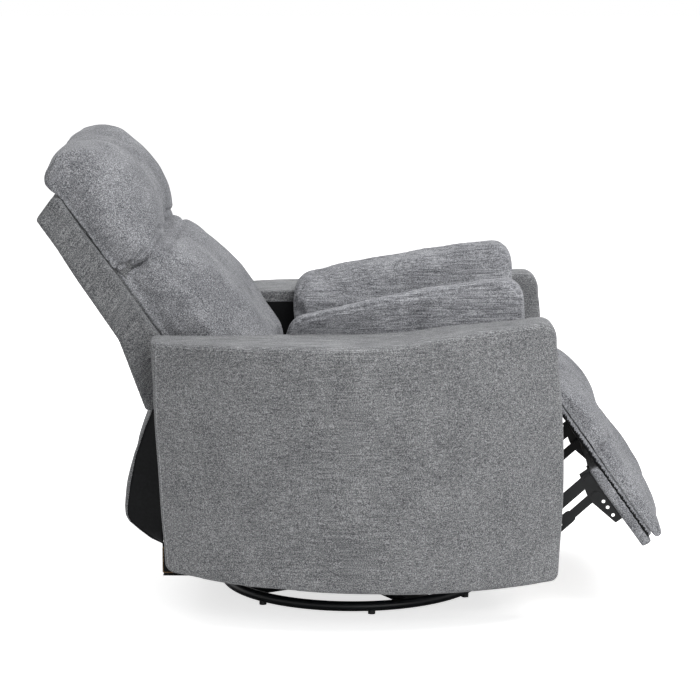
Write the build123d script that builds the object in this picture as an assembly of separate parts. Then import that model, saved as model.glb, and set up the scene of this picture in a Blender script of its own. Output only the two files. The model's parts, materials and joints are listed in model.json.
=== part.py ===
"""Swivel glider recliner with a power back and a power footrest.

Frame: millimetres, Z up, floor at Z = 0, swivel axis at X = Y = 0.
The sitter faces +X, and Y = 0 is the plane between the two sides.
The chair is drawn with its back leaned and its footrest half way out.
"""
from build123d import *
from math import atan2, cos, degrees, hypot, radians, sin, sqrt, tan
import os

# ---------------------------------------------------------------- swivel base
ring_outer_radius = 300.0
ring_tube_radius = 11.0
glide_height = 6.0
glide_radius = 8.0
glide_count = 7
glide_first_angle = -81.6
cross_bar_width = 56.0
cross_bar_height = 18.0
cross_bar_angle = -59.0
swivel_plate_radius = 115.0
swivel_plate_thickness = 4.0
ball_radius = 3.5
ball_circle_radius = 95.0
ball_count = 24
race_width = 20.0
race_height = 3.0
ball_gap = 0.2
swivel_bolt_radius = 8.0
swivel_nut_radius = 14.0
swivel_nut_height = 8.0
running_clearance = 0.05
free_gap = 0.5

# -------------------------------------------------------------- glide carriage
carriage_length = 300.0
carriage_sheet = 4.0
hanger_inner_y = 150.0
hanger_leg_width = 44.0
glide_pivot_x = 120.0
glide_link_length = 110.0
glide_link_width = 26.0
glide_link_sheet = 4.0
upper_pivot_height = 190.0
glide_pin_radius = 6.0
pin_head_radius = 9.0
pin_head_height = 2.0
hanger_to_link = 3.0
link_to_rail = 4.0
glide_plate_sheet = 4.0
glide_plate_half_length = 225.0
glide_plate_top = 215.0
glide_cross_bar_width = 30.0
glide_cross_bar_height = 20.0
glide_cross_bar_x = 200.0

# ------------------------------------------------------------- arms and pillows
arm_inner_y = 300.0
arm_outer_y_rear = 371.0
arm_outer_y_middle = 486.0
arm_outer_y_front = 357.0
arm_plan_reach = 20.0
arm_rear_x = -428.0
arm_rear_foot_x = -400.0
arm_front_x = 445.0
arm_front_bulge = 6.0
arm_front_bulge_z = 260.0
arm_front_foot_inset = 2.0
arm_front_top_inset = 13.0
arm_top_rear = 618.0
arm_top_level = 622.0
arm_top_front = 661.0
arm_rise_start_x = -10.0
arm_rise_length = 195.0
arm_rise_height = 19.0
arm_bottom_rear = 118.0
arm_bottom_middle = 91.0
arm_bottom_middle_x = 60.0
arm_bottom_front = 92.0
arm_corner_radius = 40.0
arm_foot_radius = 12.0
arm_edge_radius = 12.0
pillow_inner_y = 228.0
pillow_gap = 2.0
pillow_rear_x = -139.0
pillow_front_x = 367.0
pillow_bottom = 509.0
pillow_top_rear = 668.0
pillow_top_front = 743.0
pillow_end_radius = 42.0
pillow_crown = 9.0

# ------------------------------------------------------------------- seat box
rail_inner_y = 224.0
rail_thickness = 25.5
rail_bottom = 150.0
rail_top = 235.0
rail_rear_x = -385.0
rail_front_x = 343.0
cross_rail_thickness = 25.0
cross_rail_height = 55.0
cross_rail_bottom = 95.0
arm_block_length = 40.0
arm_block_height = 60.0
arm_block_places = (-280.0, -110.0, 20.0)
packer_end_gap = 10.0
packer_foot_rise = 20.0
packer_top_drop = 5.0
front_rail_ahead = 47.0
front_rail_above = 18.973
seat_rear_rail_x = -262.0
seat_rear_rail_top = 350.0
seat_rail_width = 28.0
seat_rail_height = 25.0
web_width = 50.0
web_sheet = 2.0
web_count = 5
web_pitch = 90.0
cushion_half_width = 292.0
cushion_side_gap = 5.5
cushion_rear_x = -300.0
cushion_front_x = 405.0
cushion_bottom_gap = 3.0
cushion_top_rear = 438.0
cushion_top_hollow = 462.0
cushion_hollow_x = -110.0
cushion_top_front = 503.0
cushion_edge_radius = 18.0
cushion_side_drop = 24.0
cushion_side_draw = 10.0
dust_cover_height = 88.0
dust_cover_sheet = 1.5
dust_cover_opening_x = 262.0
dust_cover_opening_y = 200.0
screw_head_radius = 6.0
screw_head_height = 2.5

# ----------------------------------------------------------------------- back
# Back points are (down, forward): down along the seam between the cushions and
# the side panel from its top end, and forward square to it.
seam_top_x = -611.0
seam_top_z = 888.0
seam_lean = 35.8
back_half_width = 278.0
back_side_sheet = 21.0
back_rear_sheet = 12.0
panel_top_drop = -32.0
panel_front_corner = 10.0
panel_rear_corner = 18.0
panel_rear = -65.0
panel_bend_down = 295.0
panel_bend_rear = -79.0
panel_foot_down = 455.0
panel_foot_rear = -122.0
panel_front_down = 505.0
panel_foot_open = 20.0
panel_overrun = 1.0
back_hinge_down = 519.0
back_hinge_forward = -47.0
back_bracket_length = 150.0
back_bracket_width = 34.0
hinge_foot_inset = 50.0
hinge_foot_rise = 30.0
hinge_plate_width = 40.0
hinge_screw_shares = (0.0, 0.12)
post_outer_y = 245.0
post_width = 30.0
post_rear = -51.0
post_front = -14.0
post_top_down = 8.0
post_foot_down = 482.0
post_hinge_room = 20.0
back_rail_width = 60.0
back_rail_setback = 12.0
back_rail_places = (14.0, 225.0, 420.0)
back_upright_angle = 14.0
back_recline_angle = 20.0
lumbar_half_width = 264.0
lumbar_top_down = 158.0
lumbar_brow_down = 258.0
lumbar_full_down = 400.0
lumbar_foot_down = 620.0
lumbar_depth = 181.0
head_half_width = 270.0
head_top_down = -97.0
head_nape_down = -64.0
head_nape_forward = -8.0
head_heel_down = -90.0
head_heel_forward = 14.0
head_brow_down = -55.0
head_face_down = 30.0
head_chin_down = 152.0
head_foot_down = 190.0
head_rear_foot_down = 172.0
head_depth = 162.0
head_ear = 8.0
cushion_parting = 2.0
flap_places = ((-447.0, 408.0), (-475.0, 316.0), (-489.0, 231.0), (-480.0, 200.0), (-450.0, 176.0))
flap_sheet = 3.0
flap_side_inset = 2.0
seat_clear_angle = 21.5
crown_shares = (-1.0, -0.97, -0.88, -0.7, -0.4, 0.0, 0.4, 0.7, 0.88, 0.97, 1.0)
crown_power = 4

# ------------------------------------------------------------------- footrest
# Footrest points are (down, out): down along the board's underside from its
# datum, and out square to it, on the padded side.
board_datum_x = 452.0
board_datum_z = 437.0
footrest_slope = 54.8
footrest_half_width = 284.0
footrest_board_half_width = 280.0
footrest_board_sheet = 12.0
footrest_board_start = -44.0
footrest_board_end = 326.0
pad_fold_down = -60.0
pad_fold_radius = 16.0
pad_height = 62.0
pad_channel_height = 47.0
pad_channel_down = 115.0
pad_end_height = 46.0
pad_end_down = 318.0
pad_end_reach = 30.0
pad_upper_crest = 30.0
pad_lower_crest = 215.0
lower_board_sheet = 19.0
lower_board_start = 134.0
lower_board_end = 350.0
lower_board_half_width = 280.0
bracket_start = 128.0
bracket_end = 262.0
bracket_depth = 36.0
bracket_flange = 28.0
bracket_corner_cuts = (12.0, 16.0)
bracket_foot_places = (174.0, 198.0)
bracket_hole_radius = 4.0
bracket_hole_places = (208.0, 224.0, 245.0)
bracket_hole_out = -34.0
upper_joint_down = 147.0
upper_joint_out = -33.0
lower_joint_down = 186.0
lower_joint_out = -40.0

# ------------------------------------------------------------ footrest linkage
bar_length = 193.0
bar_angle = 42.0
link_sheet = 3.5
link_layer_y = 268.0
layer_gap = 0.5
upper_bar_width = 25.0
lower_bar_width = 19.0
lower_bar_wide = 27.0
lower_bar_wide_length = 118.0
lower_bar_hole_place = 92.0
long_link_width = 26.0
short_joint_place = 48.0
short_link_width = 22.0
link_pin_radius = 4.0
link_head_radius = 8.0
link_head_height = 2.5
drive_shaft_radius = 8.0
drive_nut_radius = 13.0
drive_nut_height = 4.0
side_plate_sheet = 4.0
side_plate_rear_x = 60.0
side_plate_leg = 110.0
side_plate_boss = 19.0
side_plate_foot_rise = 12.0
side_plate_bend_x = 20.0
side_plate_bend_z = 300.0
side_plate_rear_top = 330.0
side_plate_front_foot = 366.0
plate_screw_inset = 30.0
plate_screw_rise = 45.0

# -------------------------------------------------------------- back actuator
actuator_y = -60.0
actuator_radius = 17.0
actuator_tube_rear_x = -258.0
actuator_tube_length = 228.0
actuator_gear_length = 40.0
actuator_gear_half = 23.0
actuator_motor_offset = 46.0
actuator_motor_radius = 21.0
actuator_motor_length = 100.0
actuator_rod_radius = 7.0
actuator_rod_length = 150.0
fork_length = 34.0
fork_half_width = 11.0
clevis_pin_radius = 5.0
clevis_eye_reach = 22.0
mount_bar_width = 20.0
mount_ear_sheet = 4.0
back_crank_length = 145.0
back_crank_width = 26.0
crank_sheet = 8.0
crank_slot_length = 8.0
crank_slot_play = 0.8

# -------------------------------------------------------------- footrest motor
drive_y = 45.0
drive_gear_half_x = 25.0
drive_gear_half_y = 25.0
drive_gear_above = 13.0
drive_gear_below = 62.0
drive_motor_drop = 38.0
drive_motor_radius = 22.0
drive_motor_length = 112.0

# ------------------------------------------------------------ power and control
panel_length = 46.0
panel_height = 84.0
panel_sheet = 5.0
panel_x = 398.0
panel_z = 560.0
button_radius = 7.0
button_pitch = 18.0
button_height = 3.0
button_travel = 1.5
button_clearance = 0.3
power_box_size = (110.0, 60.0, 34.0)
power_box_y = 120.0
inlet_radius = 6.0
inlet_depth = 10.0
inlet_rim = 4.0
inlet_y = -200.0


# ----------------------------------------------------------------- small helpers
def side_face(outline):
    """Face in the side view from a wire or sketch drawn with X right and Z up."""
    return outline if isinstance(outline, Sketch) else make_face(outline)


def plate(outline, y, thickness):
    """Side-view outline made a solid between Y = y and Y = y + thickness."""
    return extrude(Plane.XZ.offset(-(y + thickness)) * side_face(outline), thickness)


def centred_plate(outline, half_width):
    return plate(outline, -half_width, 2 * half_width)


def polygon(points):
    return make_face(Polyline(*points, close=True))


def block(x, y, z):
    """Box from three (low, high) pairs."""
    size = [high - low for low, high in (x, y, z)]
    middle = [(high + low) / 2 for low, high in (x, y, z)]
    return Pos(*middle) * Box(*size)


def both_sides(*solids):
    """The solids of one side with their mirror images."""
    return list(solids) + [mirror(solid, about=Plane.XZ) for solid in solids]


def bar_outline(start, end, width):
    """Flat bar with round ends about two points."""
    run = (end[0] - start[0], end[1] - start[1])
    middle = ((start[0] + end[0]) / 2, (start[1] + end[1]) / 2)
    turn = degrees(atan2(run[1], run[0]))
    return Pos(*middle) * Rot(0, 0, turn) * SlotCenterToCenter(hypot(*run), width)


def hole(point, radius):
    return Pos(*point) * Circle(radius)


def y_pin(point, radius, y_low, y_high):
    return plate(hole(point, radius), y_low, y_high - y_low)


def rivet(point, radius, head_radius, head_height, y_low, y_high):
    """Pin along Y with a round head outside each end of its grip."""
    shaft = y_pin(point, radius, y_low, y_high)
    heads = y_pin(point, head_radius, y_high, y_high + head_height)
    return shaft + heads + y_pin(point, head_radius, y_low - head_height, y_low)


def between(start, end, share):
    return tuple(a + (b - a) * share for a, b in zip(start, end))


def turned(point, centre, angle):
    """Side-view point turned about a centre, from X towards Z."""
    x, z = point[0] - centre[0], point[1] - centre[1]
    c, s = cos(radians(angle)), sin(radians(angle))
    return (centre[0] + c * x - s * z, centre[1] + s * x + c * z)


def save(name, *solids):
    """One STEP file for one named piece or group of like pieces."""
    shapes = [one for solid in solids for one in solid.solids()]
    whole = shapes[0] if len(shapes) == 1 else Compound(shapes)
    export_step(whole, f"parts/{name}.step")


# --------------------------------------------------------- places worked out once
ring_radius = ring_outer_radius - ring_tube_radius
ring_height = glide_height + ring_tube_radius
cross_bar_bottom = ring_height - cross_bar_height / 2
cross_bar_top = cross_bar_bottom + cross_bar_height
lower_plate_top = cross_bar_top + swivel_plate_thickness
ball_height = lower_plate_top + 1.0 + ball_radius
upper_plate_bottom = ball_height + ball_radius + ball_gap
upper_plate_top = upper_plate_bottom + swivel_plate_thickness
carriage_floor_top = upper_plate_top + carriage_sheet

hanger_outer_y = hanger_inner_y + carriage_sheet
glide_link_y = hanger_outer_y + hanger_to_link
glide_plate_y = glide_link_y + glide_link_sheet + link_to_rail
lower_pivot_height = upper_pivot_height - glide_link_length
rail_outer_y = rail_inner_y + rail_thickness

mid_y = link_layer_y
outer_y = mid_y + link_sheet + layer_gap
inner_y = mid_y - layer_gap - link_sheet
side_plate_y = mid_y - layer_gap - side_plate_sheet


def back_point(down, forward):
    """Side-view place of a (down, forward) point of the back."""
    lean = radians(seam_lean)
    x = seam_top_x + down * sin(lean) + forward * cos(lean)
    z = seam_top_z - down * cos(lean) + forward * sin(lean)
    return (x, z)


def footrest_point(down, out):
    """Side-view place of a (down, out) point of the footrest."""
    slope = radians(footrest_slope)
    x = board_datum_x + down * cos(slope) + out * sin(slope)
    z = board_datum_z - down * sin(slope) + out * cos(slope)
    return (x, z)


# The bars and the bracket form parallelograms, so the footrest turns about the
# fold at its top edge, and each link turns with it about its own pivot.
back_hinge = back_point(back_hinge_down, back_hinge_forward)
fold_centre = footrest_point(pad_fold_down, footrest_board_sheet + pad_fold_radius)
upper_joint = footrest_point(upper_joint_down, upper_joint_out)
lower_joint = footrest_point(lower_joint_down, lower_joint_out)
bar_run = (bar_length * cos(radians(bar_angle)), bar_length * sin(radians(bar_angle)))
long_pivot = (fold_centre[0] - bar_run[0], fold_centre[1] - bar_run[1])
knee = (upper_joint[0] - bar_run[0], upper_joint[1] - bar_run[1])
ankle = (lower_joint[0] - bar_run[0], lower_joint[1] - bar_run[1])
short_joint = between(knee, upper_joint, short_joint_place / bar_length)
short_pivot = (
    long_pivot[0] + short_joint[0] - knee[0],
    long_pivot[1] + short_joint[1] - knee[1],
)
long_link_length = hypot(knee[0] - long_pivot[0], knee[1] - long_pivot[1])
seat_front_rail_x = long_pivot[0] + front_rail_ahead
seat_front_rail_top = long_pivot[1] + front_rail_above

# The rod's pin runs in a slot of the back's crank, along a level line under the
# hinge; the crank stands square to that line half way through the back's travel.
rod_height = back_hinge[1] - back_crank_length
crank_lean = radians((back_upright_angle - back_recline_angle) / 2)
rod_pin = (back_hinge[0] + back_crank_length * tan(crank_lean), rod_height)


# -------------------------------------------------------------------- swivel base
def base_ring():
    return Pos(0, 0, ring_height) * Torus(ring_radius, ring_tube_radius)


def floor_glides():
    ring = base_ring()
    glides = []
    for number in range(glide_count):
        angle = radians(glide_first_angle + 360.0 * number / glide_count)
        place = Pos(ring_radius * cos(angle), ring_radius * sin(angle), ring_height / 2)
        glides.append(place * Cylinder(glide_radius, ring_height) - ring)
    return glides


def cross_bars():
    """One bar right across the ring, and two half bars butted against it."""
    ring = base_ring()
    height = (cross_bar_bottom, cross_bar_top)
    half = cross_bar_width / 2
    whole = block((-ring_radius, ring_radius), (-half, half), height)
    halves = [
        block((-half, half), (half, ring_radius), height),
        block((-half, half), (-ring_radius, -half), height),
    ]
    bolt = Cylinder(swivel_bolt_radius, 4 * cross_bar_height)
    bars = [Rot(0, 0, cross_bar_angle) * (bar - bolt) - ring for bar in [whole] + halves]
    return [bar - floor_glides() for bar in bars]


def lower_swivel_plate():
    height = cross_bar_top + swivel_plate_thickness / 2
    disc = Pos(0, 0, height) * Cylinder(swivel_plate_radius, swivel_plate_thickness)
    return disc - Cylinder(swivel_bolt_radius, 4 * height)


def ball_places():
    places = []
    for number in range(ball_count):
        angle = radians(360.0 * number / ball_count)
        x, y = ball_circle_radius * cos(angle), ball_circle_radius * sin(angle)
        places.append(Pos(x, y, ball_height))
    return places


def bearing_balls():
    return [place * Sphere(ball_radius) for place in ball_places()]


def bearing_race():
    height = lower_plate_top + race_height / 2
    race = Cylinder(ball_circle_radius + race_width / 2, race_height)
    race -= Cylinder(ball_circle_radius - race_width / 2, race_height)
    groove = Torus(ball_circle_radius, ball_radius)
    return Pos(0, 0, height) * race - Pos(0, 0, ball_height) * groove


def swivel_bolt():
    top = carriage_floor_top + free_gap + swivel_nut_height
    height = top - cross_bar_bottom
    return Pos(0, 0, cross_bar_bottom + height / 2) * Cylinder(swivel_bolt_radius, height)


def swivel_nut():
    bottom = carriage_floor_top + free_gap
    nut = extrude(RegularPolygon(swivel_nut_radius, 6), swivel_nut_height)
    nut -= Cylinder(swivel_bolt_radius, 4 * swivel_nut_height)
    return Pos(0, 0, bottom) * nut


# ----------------------------------------------------------------- glide carriage
def swivel_bolt_hole():
    return Cylinder(swivel_bolt_radius + running_clearance, 4 * carriage_floor_top)


def upper_swivel_plate():
    height = upper_plate_bottom + swivel_plate_thickness / 2
    disc = Pos(0, 0, height) * Cylinder(swivel_plate_radius, swivel_plate_thickness)
    return disc - swivel_bolt_hole()


def carriage_floor():
    half = carriage_length / 2
    height = (upper_plate_top, carriage_floor_top)
    floor = block((-half, half), (-hanger_inner_y, hanger_inner_y), height)
    return floor - swivel_bolt_hole()


def hanger_brackets():
    """Two upright plates, each a pair of legs joined by a low sill."""
    half = carriage_length / 2
    inner = glide_pivot_x - hanger_leg_width / 2
    top = upper_pivot_height + hanger_leg_width / 3
    sill = carriage_floor_top + hanger_leg_width / 2
    outline = polygon([
        (-half, upper_plate_top), (half, upper_plate_top), (half, top), (inner, top),
        (inner, sill), (-inner, sill), (-inner, top), (-half, top),
    ])
    for x in (-glide_pivot_x, glide_pivot_x):
        outline -= hole((x, upper_pivot_height), glide_pin_radius)
    return both_sides(plate(outline, hanger_inner_y, carriage_sheet))


def upper_glide_pins():
    """Pins fixed in the hanger brackets, on which the links swing."""
    end = glide_link_y + glide_link_sheet + free_gap
    pins = []
    for x in (-glide_pivot_x, glide_pivot_x):
        place = (x, upper_pivot_height)
        pin = y_pin(place, glide_pin_radius, hanger_inner_y - pin_head_height, end)
        pin += y_pin(place, pin_head_radius, end, end + pin_head_height)
        pin += y_pin(place, pin_head_radius, hanger_inner_y - pin_head_height, hanger_inner_y)
        pins.append(pin)
    return both_sides(*pins)


def glide_links(x):
    """The left and right links of one end, each with two running bores."""
    top, bottom = (x, upper_pivot_height), (x, lower_pivot_height)
    outline = bar_outline(bottom, top, glide_link_width)
    for place in (top, bottom):
        outline -= hole(place, glide_pin_radius + running_clearance)
    return both_sides(plate(outline, glide_link_y, glide_link_sheet))


def lower_glide_pins():
    """Pins fixed in the chair's glide plates, hung in the links."""
    start = glide_link_y - free_gap
    end = glide_plate_y + glide_plate_sheet
    pins = []
    for x in (-glide_pivot_x, glide_pivot_x):
        place = (x, lower_pivot_height)
        pin = y_pin(place, glide_pin_radius, start, end + pin_head_height)
        pin += y_pin(place, pin_head_radius, start - pin_head_height, start)
        pin += y_pin(place, pin_head_radius, end, end + pin_head_height)
        pins.append(pin)
    return both_sides(*pins)


def glide_plates():
    """Inverted U plates that hang from the cross bars outside the links."""
    half = glide_plate_half_length
    foot = glide_pivot_x + glide_link_width
    waist = glide_pivot_x - glide_link_width
    bottom = lower_pivot_height - glide_link_width / 2
    shoulder = glide_plate_top - 2 * glide_link_width
    outline = polygon([
        (-half, glide_plate_top), (-half, shoulder), (-foot, bottom), (-waist, bottom),
        (-waist, shoulder), (waist, shoulder), (waist, bottom), (foot, bottom),
        (half, shoulder), (half, glide_plate_top),
    ])
    for x in (-glide_pivot_x, glide_pivot_x):
        outline -= hole((x, lower_pivot_height), glide_pin_radius)
    return both_sides(plate(outline, glide_plate_y, glide_plate_sheet))


def glide_cross_bars():
    half = glide_cross_bar_width / 2
    height = (glide_plate_top, glide_plate_top + glide_cross_bar_height)
    bars = []
    for x in (-glide_cross_bar_x, glide_cross_bar_x):
        bars.append(block((x - half, x + half), (-rail_inner_y, rail_inner_y), height))
    return bars


# ------------------------------------------------------------------------ seat box
def seat_side_rails():
    rail = block((rail_rear_x, rail_front_x), (rail_inner_y, rail_outer_y), (rail_bottom, rail_top))
    return both_sides(rail)


def rear_bottom_rail():
    """Rail across the rear foot, with a riser up each side rail's end."""
    x = (rail_rear_x - cross_rail_thickness, rail_rear_x)
    height = (cross_rail_bottom, cross_rail_bottom + cross_rail_height)
    rail = block(x, (-arm_inner_y, arm_inner_y), height)
    riser = block(x, (rail_inner_y, rail_outer_y), (height[1], rail_top))
    return [rail] + both_sides(riser)


def front_bottom_rail():
    x = (rail_front_x - cross_rail_thickness, rail_front_x)
    height = (rail_bottom - cross_rail_height, rail_bottom)
    return block(x, (-rail_outer_y, rail_outer_y), height)


def arm_blocks():
    """Wooden blocks that carry the arm shells on the side rails."""
    half = arm_block_length / 2
    height = (rail_bottom, rail_bottom + arm_block_height)
    blocks = []
    for x in arm_block_places:
        blocks.append(block((x - half, x + half), (rail_outer_y, arm_inner_y), height))
    return both_sides(*blocks)


def seat_rail(x, top, reach):
    half = seat_rail_width / 2
    return block((x - half, x + half), (-reach, reach), (top - seat_rail_height, top))


def seat_front_rail():
    return seat_rail(seat_front_rail_x, seat_front_rail_top, side_plate_y)


def seat_rear_rail():
    """Rail under the rear end of the webbing, on two short legs."""
    rail = seat_rail(seat_rear_rail_x, seat_rear_rail_top, rail_outer_y)
    half = seat_rail_width / 2
    leg = block(
        (seat_rear_rail_x - half, seat_rear_rail_x + half),
        (rail_inner_y, rail_outer_y),
        (rail_top, seat_rear_rail_top - seat_rail_height),
    )
    return [rail] + both_sides(leg)


def web_height(x):
    """Height of the webbing's underside along the seat."""
    share = (x - seat_rear_rail_x) / (seat_front_rail_x - seat_rear_rail_x)
    return seat_rear_rail_top + share * (seat_front_rail_top - seat_rear_rail_top)


def seat_webbing():
    """Straps from the front rail to the rear rail, with a turned end on each."""
    half = seat_rail_width / 2
    rear, front = seat_rear_rail_x - half, seat_front_rail_x + half
    low_rear, low_front = seat_rear_rail_top, seat_front_rail_top
    outline = polygon([
        (rear, low_rear), (seat_rear_rail_x + half, low_rear),
        (seat_front_rail_x - half, low_front), (front, low_front),
        (front, low_front + web_sheet), (seat_front_rail_x - half, low_front + web_sheet),
        (seat_rear_rail_x + half, low_rear + web_sheet), (rear, low_rear + web_sheet),
    ])
    straps = []
    for number in range(web_count):
        y = (number - (web_count - 1) / 2) * web_pitch
        straps.append(plate(outline, y - web_width / 2, web_width))
    return straps


def seat_cushion_outline(lift, draw_in):
    """Side view of the seat cushion with its top lifted and its ends drawn in."""
    low = cushion_bottom_gap + web_sheet
    rear, front = cushion_rear_x + draw_in, cushion_front_x - draw_in
    foot_rear = web_height(seat_rear_rail_x) + low
    foot_front = web_height(seat_front_rail_x) + low
    nose = cushion_edge_radius
    top_front = cushion_top_front + lift
    edges = [
        Line((rear, foot_rear), (seat_rear_rail_x + seat_rail_width, foot_rear)),
        Line((seat_rear_rail_x + seat_rail_width, foot_rear), (front - 2 * nose, foot_front)),
        Line((front - 2 * nose, foot_front), (front, foot_front)),
        Line((front, foot_front), (front, top_front - nose)),
        ThreePointArc(
            (front, top_front - nose),
            (front - 0.3 * nose, top_front - 0.3 * nose),
            (front - nose, top_front),
        ),
        ThreePointArc(
            (front - nose, top_front),
            ((front + cushion_hollow_x) / 2, (cushion_top_front + cushion_top_hollow) / 2 + lift + 4),
            (cushion_hollow_x, cushion_top_hollow + lift),
        ),
        Line((cushion_hollow_x, cushion_top_hollow + lift), (rear, cushion_top_rear + lift / 2)),
        Line((rear, cushion_top_rear + lift / 2), (rear, foot_rear)),
    ]
    return Wire(edges)


def soft_loft(outline, y_low, y_high, middle_values, edge_values):
    """Side views lofted across a cushion, full in the middle and drawn in at its sides."""
    faces = []
    for share in crown_shares:
        y = (y_low + y_high) / 2 + share * (y_high - y_low) / 2
        full = sqrt(1 - abs(share) ** crown_power)
        values = [edge + (middle - edge) * full for middle, edge in zip(middle_values, edge_values)]
        faces.append(Plane.XZ.offset(-y) * make_face(outline(*values)))
    return loft(faces)


def seat_cushion():
    """Cushion that fills the seat, cut back below where the side plates stand."""
    edge = cushion_half_width
    cushion = soft_loft(seat_cushion_outline, -edge, edge, (0.0, 0.0), (-cushion_side_drop, cushion_side_draw))
    plate_top = short_pivot[1] + side_plate_boss
    side_room = block(
        (2 * cushion_rear_x, 2 * cushion_front_x),
        (side_plate_y - cushion_side_gap, 2 * cushion_half_width),
        (0.0, plate_top + cushion_side_gap),
    )
    return cushion - both_sides(side_room)


def dust_cover():
    """Black cloth under the seat box, open round the glide carriage."""
    height = (dust_cover_height, dust_cover_height + dust_cover_sheet)
    rear = rail_rear_x - cross_rail_thickness
    edge = arm_inner_y - free_gap
    cloth = block((rear, rail_front_x), (-edge, edge), height)
    gap_x, gap_y = dust_cover_opening_x, dust_cover_opening_y
    cloth -= block((-gap_x, gap_x), (-gap_y, gap_y), (0.0, 2 * dust_cover_height))
    swing = (long_pivot[0] - long_link_length, rail_front_x + free_gap)
    notch = block(swing, (rail_outer_y, arm_inner_y), (0.0, 2 * dust_cover_height))
    return cloth - both_sides(notch)


# ------------------------------------------------------------------ arms, pillows
def arm_side_outline():
    """Side view of an arm shell: level top that rises to the front, bowed bottom."""
    rise_end = (arm_front_x - arm_corner_radius, arm_top_front)
    top_edge = TangentArc(
        (arm_rise_start_x, arm_top_level),
        (arm_rise_start_x + arm_rise_length, arm_top_level + arm_rise_height),
        tangent=(1, 0),
    )
    bottom = ThreePointArc(
        (arm_front_x - arm_foot_radius, arm_bottom_front),
        (arm_bottom_middle_x, arm_bottom_middle),
        (arm_rear_foot_x + arm_foot_radius, arm_bottom_rear),
    )
    front = ThreePointArc(
        (arm_front_x - arm_front_foot_inset, arm_bottom_front + arm_foot_radius),
        (arm_front_x + arm_front_bulge, arm_front_bulge_z),
        (arm_front_x - arm_front_top_inset, arm_top_front - 1.2 * arm_corner_radius),
    )
    edges = [
        Line((arm_rear_x, arm_top_rear), top_edge @ 0),
        top_edge,
        Line(top_edge @ 1, rise_end),
        ThreePointArc(
            rise_end,
            (arm_front_x - 0.55 * arm_corner_radius, arm_top_front - 0.3 * arm_corner_radius),
            front @ 1,
        ),
        front,
        Line(front @ 0, bottom @ 0),
        bottom,
        Line(bottom @ 1, (arm_rear_foot_x, arm_bottom_rear + arm_foot_radius)),
        Line((arm_rear_foot_x, arm_bottom_rear + arm_foot_radius), (arm_rear_x, arm_top_rear)),
    ]
    return make_face(Wire(edges))


def arm_shell():
    """Left arm shell: the side outline cut by a plan outline that bows outwards."""
    rear, front = arm_rear_x - arm_plan_reach, arm_front_x + arm_plan_reach
    outer = ThreePointArc((rear, arm_outer_y_rear), (0.0, arm_outer_y_middle), (front, arm_outer_y_front))
    edges = [
        outer,
        Line((front, arm_outer_y_front), (front, arm_inner_y)),
        Line((front, arm_inner_y), (rear, arm_inner_y)),
        Line((rear, arm_inner_y), (rear, arm_outer_y_rear)),
    ]
    plan = extrude(make_face(Wire(edges)), 2 * arm_top_front)
    thickness = arm_outer_y_middle + arm_plan_reach - arm_inner_y
    shell = plan & plate(arm_side_outline(), arm_inner_y, thickness)
    halfway = (arm_inner_y + min(arm_outer_y_rear, arm_outer_y_front)) / 2
    outer_edges = [
        edge for edge in shell.edges()
        if all(vertex.Y > halfway for vertex in edge.vertices())
    ]
    return fillet(outer_edges, arm_edge_radius)


def pillow_outline(drop, draw_in):
    """Side view of an arm pillow with its top dropped and its ends drawn in."""
    rear, front = pillow_rear_x + draw_in, pillow_front_x - draw_in
    top_rear, top_front = pillow_top_rear - drop, pillow_top_front - drop
    low = pillow_bottom
    round_end = pillow_end_radius
    middle = ((rear + front) / 2, (top_rear + top_front) / 2 + pillow_crown)
    edges = [
        Line((rear, low), (front, low)),
        Line((front, low), (front, top_front - round_end)),
        ThreePointArc(
            (front, top_front - round_end),
            (front - 0.29 * round_end, top_front - 0.29 * round_end),
            (front - round_end, top_front),
        ),
        ThreePointArc((front - round_end, top_front), middle, (rear + round_end, top_rear)),
        ThreePointArc(
            (rear + round_end, top_rear),
            (rear + 0.29 * round_end, top_rear - 0.36 * round_end),
            (rear, top_rear - 1.2 * round_end),
        ),
        Line((rear, top_rear - 1.2 * round_end), (rear, low)),
    ]
    return Wire(edges)


def arm_pillow():
    """Left arm pillow, crowned across its top between two boxed sides."""
    outer = arm_inner_y - pillow_gap
    return soft_loft(pillow_outline, pillow_inner_y, outer, (0.0, 0.0), (20.0, 8.0))


# ---------------------------------------------------------------------------- back
def back_panel():
    """Upholstered side and rear shell of the back, open to the front and below."""
    rear_top = (panel_top_drop + panel_rear_corner, panel_rear)
    corner, over = panel_front_corner, panel_overrun
    outline = [
        (panel_top_drop + corner, 0.0), (panel_top_drop, -corner), rear_top,
        (panel_bend_down, panel_bend_rear), (panel_foot_down, panel_foot_rear),
        (panel_front_down, 0.0),
    ]
    cavity = [
        (panel_top_drop + corner + 2 * over + back_rear_sheet, over),
        (rear_top[0] + back_rear_sheet, panel_rear + back_rear_sheet),
        (panel_bend_down, panel_bend_rear + back_rear_sheet),
        (panel_foot_down + panel_foot_open, panel_foot_rear + back_rear_sheet - 2 * over),
        (panel_front_down + 3 * panel_foot_open, panel_foot_rear),
        (panel_front_down + 3 * panel_foot_open, over),
    ]
    shell = centred_plate(polygon([back_point(*p) for p in outline]), back_half_width)
    room = centred_plate(polygon([back_point(*p) for p in cavity]), back_half_width - back_side_sheet)
    return shell - room


def back_slab(down, forward):
    """Side-view face between two (down) and two (forward) values of the back."""
    corners = [(down[0], forward[0]), (down[0], forward[1]), (down[1], forward[1]), (down[1], forward[0])]
    return polygon([back_point(*corner) for corner in corners])


def back_posts():
    outline = back_slab((post_top_down, post_foot_down), (post_rear, post_front))
    outline -= hole(back_hinge, post_hinge_room)
    return both_sides(plate(outline, post_outer_y - post_width, post_width))


def back_rails():
    """Three wooden rails between the posts."""
    rails = []
    for place in back_rail_places:
        outline = back_slab((place, place + back_rail_width), (post_rear + back_rail_setback, post_front))
        rails.append(centred_plate(outline, post_outer_y - post_width))
    return rails


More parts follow.
